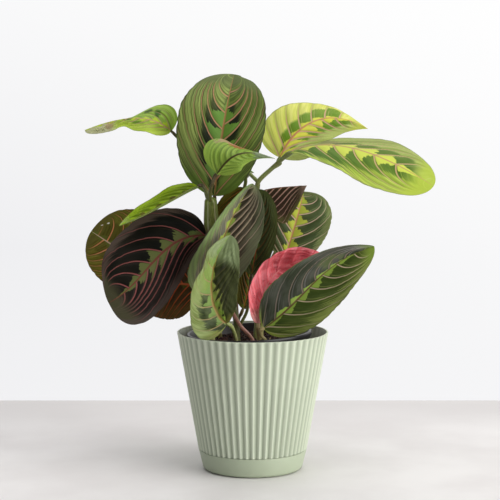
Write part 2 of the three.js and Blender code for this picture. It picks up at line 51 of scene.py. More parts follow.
# Pots, as in the frame. AXIS_RADIUS is that of the flat discs which close a turned piece. An edge is sharp
# where its faces meet at more than the degrees that a name with SHARP gives.
RIM_RADIUS = 70
RIM_HEIGHT = 127.6
SEAM_RADIUS = 50.5
SEAM_HEIGHT = 18.4
FOOT_RADIUS = 45.8
FOOT_ROUND = 3.6
FOOT_STEPS = 7
CLEAR = 0.35
RIM_WALL = 1.8
TRAY_WALL = 2.4
COVER_WALL = 2.6
COVER_FLOOR = 3
COVER_FLOOR_TOP = 15.5
WALL_ROWS = 24
PLEATS = 56
PLEAT_DEPTH = 1.7
PLEAT_COLUMNS = 8
PLEAT_SOFTNESS = 0.06
LIP_HEIGHT = 2.4
LIP_PLEAT_DEPTH = 0.3
NURSERY_LEAN = math.radians(-2)
NURSERY_FOOT = (0.6, 0, 17.4)
NURSERY_HEIGHT = 110
NURSERY_FOOT_RADIUS = 42.5
NURSERY_TOP_RADIUS = 56.4
NURSERY_LIP_RADIUS = 57.7
NURSERY_LIP_HEIGHT = 4.5
NURSERY_WALL = 1.2
SOIL_HEIGHT = 100.5
SOIL_RINGS = 44
CRUMBS = 900
CRUMB_SEED = 7
CRUMB_LIFT = 0.2
ROUND_SIDES = 160
SHARP_PLEAT = 50
SHARP_LIP = 40
SHARP_CRUMB = 30
AXIS_RADIUS = 2

# Stems
SOIL_LEVEL = 118
ROOT_DEPTH = 16
STEM_FOOT = 2
STEM_SIDES = 14
STEM_STEP = 1.5
PETIOLE_RUN = 4
PETIOLE_SINK = 0.8
CURVE_STEPS = 24
JOINT_LENGTH = 11
JOINT_SWELL = 0.28
END_LENGTH = 2.5
PETIOLE_TAPER = 0.35
BRANCH_TAPER = 0.85
RING_START = (0.3, 0.9, 0.1)
SHEATH_RADII = (8, 5.5)

# Leaf blades: the frame's formula on a finer grid
BASE_POWER = 2.3
TIP_POWER = 2.2
EDGE_WAVES = 2.5
EDGE_SHIFT = 0.25
PHASE_STEP = 0.37
ROWS = 110
COLUMNS = 24
COLUMN_POWER = 1.25
BLADE_THICKNESS = 0.5
RIB_HEIGHT = 1.1
RIB_WIDTH = 1.3
RIB_POWER = 0.8
RIB_SINK = 0.3
EDGE_THINNING = 0.6
VEIN_POWER = 3
VEIN_LAG = 0.97
MARGIN_WEAR = 0.012
LEAF_ROUGHNESS = 0.5
SHARP_LEAF = 60
HALVINGS = 20


def linear(value):
    value = value / 255
    return value / 12.92 if value <= 0.04045 else ((value + 0.055) / 1.055) ** 2.4


def colour(text):
    red, green, blue = (int(text[i:i + 2], 16) for i in (1, 3, 5))
    return (linear(red), linear(green), linear(blue), 1.0)


def arithmetic(kind, swapped=False):
    """A method of Value that adds a math node."""
    def method(value, other=0.0):
        pair = (other, value) if swapped else (value, other)
        return value.graph.math(kind, *pair)
    return method


class Value:
    """The output of a node. Arithmetic with it adds nodes to its graph."""

    __add__ = __radd__ = arithmetic("ADD")
    __mul__ = __rmul__ = arithmetic("MULTIPLY")
    __sub__ = arithmetic("SUBTRACT")
    __rsub__ = arithmetic("SUBTRACT", swapped=True)
    __abs__ = arithmetic("ABSOLUTE")

    def __init__(self, graph, socket):
        self.graph = graph
        self.socket = socket

    def step(self, low, high):
        """0 up to low and 1 from high on, with a smooth change between them."""
        inputs = {0: self, 1: low, 2: high}
        return self.graph.node("MapRange", inputs, interpolation_type="SMOOTHSTEP")


class Graph:
    """One material. An input is a number, a colour as #rrggbb or a Value; shade is the colour so far."""

    def __init__(self, name, shade=None):
        self.material = bpy.data.materials.new(name)
        self.material.use_nodes = True
        self.tree = self.material.node_tree
        self.tree.nodes.clear()
        self.shade = shade

    def node(self, kind, inputs=None, output=0, **settings):
        node = self.tree.nodes.new("ShaderNode" + kind)
        for key, value in settings.items():
            setattr(node, key, value)
        for key, value in (inputs or {}).items():
            if isinstance(value, Value):
                self.tree.links.new(value.socket, node.inputs[key])
            else:
                node.inputs[key].default_value = colour(value) if isinstance(value, str) else value
        return Value(self, node.outputs[output]) if len(node.outputs) else None

    def math(self, operation, a, b=0.0):
        return self.node("Math", {0: a, 1: b}, operation=operation)

    def mix(self, share, a, b):
        return self.node("Mix", {0: share, 6: a, 7: b}, 2, data_type="RGBA")

    def paint(self, share, tint):
        """Lays a colour over the shade, as much as share says."""
        self.shade = self.mix(share, self.shade, tint)

    def noise(self, place, scale=1.0, detail=2.0):
        """Noise at a place, given as a Value or as three coordinates."""
        if isinstance(place, tuple):
            place = self.node("CombineXYZ", dict(enumerate(place)))
        return self.node("TexNoise", {"Vector": place, "Scale": scale, "Detail": detail})

    def attribute(self, name):
        return self.node("Attribute", output="Fac", attribute_name=name)

    def place(self, axis=None):
        """The place on the object, or one coordinate of it."""
        place = self.node("TexCoord", output="Object")
        return self.node("SeparateXYZ", {0: place}, axis) if axis else place

    def output(self, shader):
        self.node("OutputMaterial", {"Surface": shader})
        return self.material

    def surface(self, roughness, relief=None, strength=0.0, depth=0.0, shine=0.5, through=0.0):
        """Finishes the material: bumps are depth millimetres deep, and through is the light let through."""
        inputs = {"Base Color": self.shade, "Roughness": roughness, "Specular IOR Level": shine}
        if relief is not None:
            bumps = {"Height": relief, "Strength": strength, "Distance": depth * MM}
            inputs["Normal"] = self.node("Bump", bumps)
        shader = self.node("BsdfPrincipled", inputs)
        if through:
            translucent = self.node("BsdfTranslucent", {"Color": self.shade})
            shader = self.node("MixShader", {0: through, 1: shader, 2: translucent})
        return self.output(shader)


def add_object(name, data):
    thing = bpy.data.objects.new(name, data)
    bpy.context.scene.collection.objects.link(thing)
    return thing


def add_mesh(name, points, faces, materials):
    """A mesh object. Its points are in millimetres."""
    data = bpy.data.meshes.new(name)
    data.from_pydata(np.asarray(points, float) * MM, [], faces)
    data.update()
    for material in materials:
        data.materials.append(material)
    return add_object(name, data)


def add_piece(node, part, points, faces, materials, sharp, values=None):
    """A smooth mesh that stands for a node of the frame. Its materials read the values of its points."""
    piece = add_mesh(f"{node}_{part}", points, faces, materials)
    piece.data.polygons.foreach_set("use_smooth", np.ones(len(faces), bool))
    piece.data.set_sharp_from_angle(angle=math.radians(sharp))
    for name, numbers in (values or {}).items():
        layer = piece.data.attributes.new(name, "FLOAT", "POINT")
        layer.data.foreach_set("value", np.asarray(numbers, np.float32).ravel())
    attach(piece, "root")
    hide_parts(node)
    return piece


# Pots


def cover_radius(height):
    share = (height - SEAM_HEIGHT) / (RIM_HEIGHT - SEAM_HEIGHT)
    return SEAM_RADIUS + share * (RIM_RADIUS - SEAM_RADIUS)


def tray_radius(height):
    return FOOT_RADIUS + (SEAM_RADIUS - FOOT_RADIUS) * height / SEAM_HEIGHT


def nursery_radius(height):
    return NURSERY_FOOT_RADIUS + (NURSERY_TOP_RADIUS - NURSERY_FOOT_RADIUS) * height / NURSERY_HEIGHT


def ring_faces(rows, sides):
    """Quads between the rings of a round mesh, and a face that closes each end."""
    faces = []
    for low in range(0, (rows - 1) * sides, sides):
        high = low + sides
        for side in range(sides):
            following = (side + 1) % sides
            faces.append((low + side, low + following, high + following, high + side))
    last = (rows - 1) * sides
    return faces + [tuple(reversed(range(sides))), tuple(range(last, last + sides))]


def turned(profile, sides=ROUND_SIDES, inward=0):
    """Points and faces turned about Z from pairs of radius and height; inward draws points to the axis."""
    radii, heights = np.array(profile, float).T[:, :, None]
    angles = TURN / sides * np.arange(sides)
    radii = radii - inward
    points = np.stack([radii * np.cos(angles), radii * np.sin(angles), heights + 0 * angles], -1)
    return points.reshape(-1, 3), ring_faces(len(profile), sides)


def pleat_share(angles):
    """0 on a ridge and 1 in a valley, with both rounded a little."""
    across = np.abs((angles * PLEATS / TURN + 0.5) % 1 - 0.5) * 2
    return across - PLEAT_SOFTNESS * np.sin(TURN * across) / TURN


def cover_pot():
    lip_foot = RIM_HEIGHT - LIP_HEIGHT
    underside = COVER_FLOOR_TOP - COVER_FLOOR
    spigot_foot = TRAY_WALL + CLEAR
    foot = tray_radius(TRAY_WALL) - spigot_foot
    inner_rim = RIM_RADIUS - RIM_WALL
    inner_foot = cover_radius(COVER_FLOOR_TOP) - PLEAT_DEPTH - COVER_WALL
    rings = [
        (AXIS_RADIUS, underside, 0),
        (foot - COVER_FLOOR, underside, 0),
        (foot - COVER_FLOOR, spigot_foot, 0),
        (foot, spigot_foot, 0),
        (tray_radius(SEAM_HEIGHT) - spigot_foot, SEAM_HEIGHT, 0),
    ]
    rings += [(cover_radius(z), z, PLEAT_DEPTH) for z in np.linspace(SEAM_HEIGHT, lip_foot, WALL_ROWS)]
    for out, share, fade in ((0.1, 0.25, 1), (0.1, 0.7, 0.7), (0, 0.92, 0.5), (-0.35, 1, 0.4)):
        height = lip_foot + share * LIP_HEIGHT
        rings.append((cover_radius(height) + out, height, PLEAT_DEPTH * fade))
    rings += [
        (inner_rim + 0.4, RIM_HEIGHT, LIP_PLEAT_DEPTH),
        (inner_rim, RIM_HEIGHT - 0.4, 0),
        (inner_foot + 2, COVER_FLOOR_TOP + 2, 0),
        (inner_foot, COVER_FLOOR_TOP, 0),
        (AXIS_RADIUS, COVER_FLOOR_TOP, 0),
    ]
    rings = np.array(rings)
    radii, heights, depths = rings.T
    sides = PLEATS * PLEAT_COLUMNS
    inward = depths[:, None] * pleat_share(TURN / sides * np.arange(sides))
    points, faces = turned(rings[:, :2], sides, inward)
    # Painted shade: marks the inner wall, which the nursery pot shades, to be darkened in its colour.
    inside_shade = (heights > COVER_FLOOR_TOP - 1) & (radii < cover_radius(heights) - RIM_WALL + 0.1)
    # valley is the pleat depth; the material uses it only for painted shade in the pleat valleys.
    values = {"valley": inward / PLEAT_DEPTH, "inside_shade": np.repeat(inside_shade, sides)}
    material = sage_material("sage_plastic", "#d1dac5", "#c8d2b9")
    add_piece("cover_pot", "shell", points, faces, [material], SHARP_PLEAT, values)


def base_tray():
    top = SEAM_HEIGHT - CLEAR
    profile = [(AXIS_RADIUS, 0)]
    for angle in np.linspace(0, math.pi / 2, FOOT_STEPS + 1):
        radius = tray_radius(FOOT_ROUND) - FOOT_ROUND * (1 - math.sin(angle))
        profile.append((radius, FOOT_ROUND * (1 - math.cos(angle))))
    profile += [
        (tray_radius(top - 0.5), top - 0.5),
        (tray_radius(top) - 0.4, top),
        (tray_radius(top) - TRAY_WALL, top),
        (tray_radius(TRAY_WALL) - TRAY_WALL, TRAY_WALL),
        (AXIS_RADIUS, TRAY_WALL),
    ]
    # Painted shade: the tray's sage is darker than the pot's, as its band faces slightly downwards.
    material = sage_material("sage_tray", "#b4bfa6", "#adb99c")
    add_piece("base_tray", "shell", *turned(profile), [material], SHARP_PLEAT)


def leaning(points):
    """Stands the nursery pot or the soil at its foot, leaning a little to the left."""
    x, y, z = points.T
    cosine, sine = math.cos(NURSERY_LEAN), math.sin(NURSERY_LEAN)
    return np.stack([x * cosine + z * sine, y, z * cosine - x * sine], 1) + NURSERY_FOOT


def nursery_pot():
    lip_foot = NURSERY_HEIGHT - NURSERY_LIP_HEIGHT
    inner_rim = NURSERY_TOP_RADIUS - NURSERY_WALL
    profile = [
        (AXIS_RADIUS, 0),
        (NURSERY_FOOT_RADIUS - 1, 0),
        (NURSERY_FOOT_RADIUS, 1),
        (nursery_radius(lip_foot), lip_foot),
        (NURSERY_LIP_RADIUS - 0.3, lip_foot),
        (NURSERY_LIP_RADIUS, lip_foot + 0.4),
        (NURSERY_LIP_RADIUS, NURSERY_HEIGHT - 0.6),
        (NURSERY_LIP_RADIUS - 0.25, NURSERY_HEIGHT - 0.15),
        (NURSERY_LIP_RADIUS - 0.7, NURSERY_HEIGHT),
        (inner_rim + 0.3, NURSERY_HEIGHT),
        (inner_rim, NURSERY_HEIGHT - 0.4),
        (NURSERY_FOOT_RADIUS - NURSERY_WALL, NURSERY_WALL),
        (AXIS_RADIUS, NURSERY_WALL),
    ]
    points, faces = turned(profile)
    add_piece("nursery_pot", "shell", leaning(points), faces, [black_material()], SHARP_LIP)


def crumb_height(x, y):
    """Height of the soil's surface, in millimetres, as waves of four sizes."""
    height = 0.9 * (np.sin(0.31 * x + 0.5) * np.cos(0.27 * y) + 0.6 * np.sin(0.17 * x - 0.41 * y))
    height = height + 0.5 * np.sin(0.9 * x + 1.3 * np.sin(0.5 * y)) * np.cos(0.8 * y + 0.7)
    height = height + 0.3 * np.sin(2.1 * x + 2.0 * np.sin(1.3 * y)) * np.sin(1.9 * y + np.sin(1.7 * x))
    return height + 0.15 * np.sin(4.3 * x + 0.4) * np.sin(3.9 * y + 2 * np.sin(2.2 * x))


def crumbs(radius):
    """Loose crumbs and bark chips on the soil: small bent blocks, drawn with a fixed seed."""
    random = np.random.default_rng(CRUMB_SEED)
    corners = np.array([[x, y, z] for x in (-1, 1) for y in (-1, 1) for z in (-1, 1)], float)
    quads = [(0, 1, 3, 2), (4, 6, 7, 5), (0, 4, 5, 1), (2, 3, 7, 6), (0, 2, 6, 4), (1, 5, 7, 3)]
    points, faces = [], []
    for start in range(0, CRUMBS * len(corners), len(corners)):
        reach = (radius - 3) * math.sqrt(random.random())
        angle = random.random() * TURN
        x, y = reach * math.cos(angle), reach * math.sin(angle)
        size = random.uniform(0.5, 1.3, 3) * random.uniform(0.7, 1.5)
        turn = np.linalg.qr(random.normal(size=(3, 3)))[0]
        block = (corners * size * random.uniform(0.75, 1.15, (8, 1))) @ turn.T
        points.append(block + (x, y, SOIL_HEIGHT + crumb_height(x, y) + CRUMB_LIFT))
        faces += [tuple(start + corner for corner in quad) for quad in quads]
    return np.concatenate(points), faces


def soil():
    gap = NURSERY_WALL + CLEAR
    top = nursery_radius(SOIL_HEIGHT) - gap
    profile = [(AXIS_RADIUS, gap), (nursery_radius(gap) - gap, gap)]
    profile += [(top * (1 - ring / SOIL_RINGS), SOIL_HEIGHT) for ring in range(SOIL_RINGS)]
    points, faces = turned(profile)
    x, y, z = points.T
    surface = (z > SOIL_HEIGHT - 0.1) & (np.hypot(x, y) < top - 0.5)
    points[:, 2] += np.where(surface, crumb_height(x, y), 0)
    loose, loose_faces = crumbs(top)
    faces += [tuple(corner + len(points) for corner in face) for face in loose_faces]
    points = leaning(np.concatenate([points, loose]))
    add_piece("soil", "surface", points, faces, [earth_material()], SHARP_CRUMB)


# Leaf blades


def unit(vectors):
    return vectors / np.linalg.norm(vectors, axis=-1, keepdims=True)


def smooth(value, low, high):
    share = np.clip((value - low) / (high - low), 0, 1)
    return share * share * (3 - 2 * share)


def of_side(value, side):
    """A pair's value for the left half (0) or the right one (1). Any other value holds for both."""
    return value[side] if isinstance(value, tuple) else value


def along(values, t):
    """A value, or two to four of them blended as Bezier weights from the base to the tip."""
    values = np.atleast_1d(np.asarray(values, float))
    order = len(values) - 1
    total = 0
    for i, value in enumerate(values):
        weight = math.comb(order, i) * (1 - t) ** (order - i) * t ** i
        total = total + (weight[..., None] * value if np.ndim(value) else weight * value)
    return total


def outline(t, widest, point):
    """Half width of the blade, 0 at the base and the tip and 1 where it is widest."""
    base = np.sqrt(1 - np.clip((widest - t) / widest, 0, 1) ** BASE_POWER)
    tip = (1 - np.clip((t - widest) / (1 - widest), 0, 1) ** TIP_POWER) ** point
    return np.where(t < widest, base, tip)


def section(fold, curl, share):
    """Across and up, for a half that leaves the midrib at one angle and turns evenly towards its margin."""
    start = np.radians(fold)
    turn = math.radians(curl) or 1e-3
    across = (np.sin(start + turn * share) - np.sin(start)) / turn
    rise = (np.cos(start) - np.cos(start + turn * share)) / turn
    return across, rise


def blade_surface(leaf, t, u):
    """Points of the blade's middle surface; t runs from base to tip and u from left to right margin."""
    step = 1e-3
    centre = along(leaf["rib"], t)
    tangent = unit(along(leaf["rib"], np.minimum(1, t + step)) - along(leaf["rib"], np.maximum(0, t - step)))
    up = along([unit(np.array(face, float)) for face in leaf["face"]], t)
    up = unit(up - tangent * np.sum(up * tangent, -1, keepdims=True))
    right = np.cross(tangent, up)
    share = np.abs(u)
    wave = np.sin(TURN * (EDGE_WAVES * t + leaf["phase"] + EDGE_SHIFT * np.sign(u)))
    wave = leaf["wave"] * share ** 2 * wave
    points = centre
    for side, sign in enumerate((-1, 1)):
        widest, point, half, fold, curl = (of_side(leaf[key], side) for key in SIDED_KEYS)
        width = np.where((u < 0) == (sign < 0), outline(t, widest, point), 0)
        across, rise = section(along(fold, t), curl, share)
        points = points + (width * half * across * sign)[..., None] * right
        points = points + (width * (half * rise + wave))[..., None] * up
    return points


def blade_normal(leaf, t, u):
    step, clear = 0.004, 0.012
    t = np.clip(t, clear, 1 - clear)
    u = np.clip(u, step - 1, 1 - step)
    forward = blade_surface(leaf, t + step, u) - blade_surface(leaf, t - step, u)
    across = blade_surface(leaf, t, u + step) - blade_surface(leaf, t, u - step)
    return unit(np.cross(across, forward))


def margin(leaf, t, u):
    """How much of the full breadth the blade keeps: slightly uneven, with the notches of the leaf."""
    place = t * 40 + 9 * leaf["phase"] + 5 * (u > 0)
    wear = (1 + np.sin(place) * np.sin(0.37 * place + 1)) * (0.6 + 0.4 * np.sin(2.3 * place))
    keep = 1 - MARGIN_WEAR * wear
    for side, at, depth, width in leaf["notches"]:
        keep = keep - np.where(u * side > 0, depth * np.exp(-((t - at) / width) ** 2), 0)
    return keep


def vein_number(leaf, t, u):
    """Rises by one from each side vein to the next. A vein leaves the midrib at its start, leans towards the
    tip and sweeps along the margin, the more so the nearer to the tip it starts."""
    share = np.abs(u)
    lean, sweep, gather, first = (np.where(u < 0, *pair) for pair in zip(*leaf["run"]))
    if leaf["fan"]:
        return leaf["veins"] * (t + leaf["fan"] * share)

    def lag(start):
        wide = share * (1 + gather * np.clip(start, 0, 1))
        return np.minimum(lean * wide + sweep * wide ** VEIN_POWER, VEIN_LAG)

    low, high = np.zeros_like(t), np.ones_like(t)
    for _ in range(HALVINGS):
        middle = (low + high) / 2
        beyond = middle + (1 - middle) * lag(middle) > t
        high = np.where(beyond, middle, high)
        low = np.where(beyond, low, middle)
    start = np.where(t > lag(0), low, t - lag(0))
    return leaf["veins"] * start + first


def vein_spacing(middle, veins):
    """Millimetres from one vein to the next, at each point of the grid."""
    halves = []
    for columns in (slice(0, COLUMNS), slice(COLUMNS, None)):
        down, over = np.gradient(middle[:, columns], axis=(0, 1))
        rise, run = np.gradient(veins[:, columns], axis=(0, 1))
        down_down = np.sum(down * down, -1)
        down_over = np.sum(down * over, -1)
        over_over = np.sum(over * over, -1)
        area = np.maximum(down_down * over_over - down_over ** 2, 1e-9)
        steep = (over_over * rise ** 2 - 2 * down_over * rise * run + down_down * run ** 2) / area
        halves.append(1 / np.sqrt(np.clip(steep, 1e-3, 1)))
    return np.concatenate(halves, 1)


def by_interval(values, veins, u):
    """A share of the breadth for each interval between veins, from the one before the first vein on."""
    index = np.floor(veins).astype(int) + 1
    left, right = (np.atleast_1d(of_side(values, side)) for side in (0, 1))
    return np.where(u < 0, left[np.clip(index, 0, len(left) - 1)], right[np.clip(index, 0, len(right) - 1)])


def quilt(leaf, t, u, veins):
    """Height of the pillows between the veins, which sink the upper face between raised veins."""
    share = np.abs(u)
    wave = np.abs(np.sin(math.pi * veins))
    fade = smooth(share, 0.04, 0.25) * (1 - 0.8 * smooth(share, 0.6, 1))
    fade = fade * smooth(t, 0.02, 0.12) * (1 - smooth(t, 0.86, 0.97)) * smooth(veins, -0.6, 0.2)
    return leaf["quilt"] * (wave - 0.5) * fade


def crumple(leaf, t, u):
    """Soft lumps of a wrinkled blade, fading at the base and the tip."""
    lumps = np.sin(17 * t + 3 * np.sin(7 * u + 9 * t)) * np.sin(8 * u + 2 * np.sin(13 * t + 4 * u) + 1)
    return leaf["crumple"] * lumps * smooth(t, 0.03, 0.15) * (1 - smooth(t, 0.88, 0.98))


def blade_faces(shape):
    """Faces of the upper side, the lower side and the margins. Rows meet in one point at the base and tip."""
    size = shape[0] * shape[1]
    index = np.arange(size).reshape(shape)
    index[0] = index[0, 0]
    index[-1] = index[-1, 0]
    corners = np.stack([index[:-1, :-1], index[:-1, 1:], index[1:, 1:], index[1:, :-1]], -1).reshape(-1, 4)
    upper = [tuple(dict.fromkeys(face)) for face in corners.tolist()]
    lower = [tuple(corner + size for corner in reversed(face)) for face in upper]
    edges = []
    for starts, ends in ((index[:-1, 0], index[1:, 0]), (index[1:, -1], index[:-1, -1])):
        edges += [(a, b, b + size, a + size) for a, b in zip(starts.tolist(), ends.tolist())]
    return upper, lower, edges


def blade(name, leaf, look):
    rows = (1 - np.cos(np.pi * np.arange(ROWS + 1) / ROWS)) / 2
    side = np.linspace(0, 1, COLUMNS + 1) ** COLUMN_POWER
    t, u = np.meshgrid(rows, np.concatenate([-side[:0:-1], side]), indexing="ij")
    veins = vein_number(leaf, t, u)
    kept = u * margin(leaf, t, u)
    normal = blade_normal(leaf, t, kept)
    middle = blade_surface(leaf, t, kept)
    middle = middle + normal * (quilt(leaf, t, u, veins) + crumple(leaf, t, u))[..., None]
    half = BLADE_THICKNESS / 2 * (1 - EDGE_THINNING * np.abs(u) ** 4)
    from_rib = np.linalg.norm(middle - middle[:, COLUMNS:COLUMNS + 1], axis=-1)
    rib = RIB_HEIGHT * (1 - t) ** RIB_POWER * np.exp(-(from_rib / RIB_WIDTH) ** 2)
    heights = (half - RIB_SINK * rib, -half - rib)
    points = np.stack([middle + normal * height[..., None] for height in heights])
    upper, lower, edges = blade_faces(t.shape)
    faces = upper + lower + edges
    used, compact = np.unique(np.concatenate([np.array(face) for face in faces]), return_inverse=True)
    ends = np.cumsum([len(face) for face in faces])[:-1]
    faces = [tuple(part.tolist()) for part in np.split(compact.ravel(), ends)]
    values = {"along": t, "share": u, "vein": veins, "spacing": vein_spacing(middle, veins)}
    for key in ("band_width", "reach"):
        values[key] = by_interval(leaf.get(key) or look[key], veins, u)
    values = {key: np.tile(grid.ravel(), 2)[used] for key, grid in values.items()}
    materials = [upper_side(name, leaf, look), UNDERSIDES[look["under"]]]
    piece = add_piece(name, "blade", points.reshape(-1, 3)[used], faces, materials, SHARP_LEAF, values)
    numbers = [0] * len(upper) + [1] * len(lower) + [0] * len(edges)
    piece.data.polygons.foreach_set("material_index", numbers)


# Leaf looks. First come eight colours: the ground, its streaks, the blotches, the band, the veins, the
# midrib, the edge and the tip. A pair in round brackets holds the left and the right half. Lengths are shares
# of the blade, but vein_width is half a vein's width in millimetres. The band lies along the midrib,
# band_width wide, and the blotches between the veins go out to reach. foot and margin are the colours of
# those parts, but the dark look's margin colour is a painted sheen. The crease setting gives painted shade
# beside the veins, in the blotch colour. A spot is a patch at a place along and across, with its two radii,
# its colour and its strength.
LOOK_COLOURS = ("outer", "streak", "blotch", "band", "vein", "rib", "edge", "tip")
LOOK_DEFAULTS = dict(
    streaks=0.85, blotches=1.0, reach=0.5, jag=1.0, band_width=0.24, feather=1.0, pale_line=0.35, crease=0.35,
    mottle=0.12, vein_width=0.55, vein_strength=0.9, rib_width=0.03, margin=None, margin_from=0.8, foot=None,
    foot_to=0.2, tip_from=0.86, through=0.1, shine=0.2, under="red", spots=(),
)


def new_look(*colours, **rest):
    return {**LOOK_DEFAULTS, **dict(zip(LOOK_COLOURS, colours)), **rest}


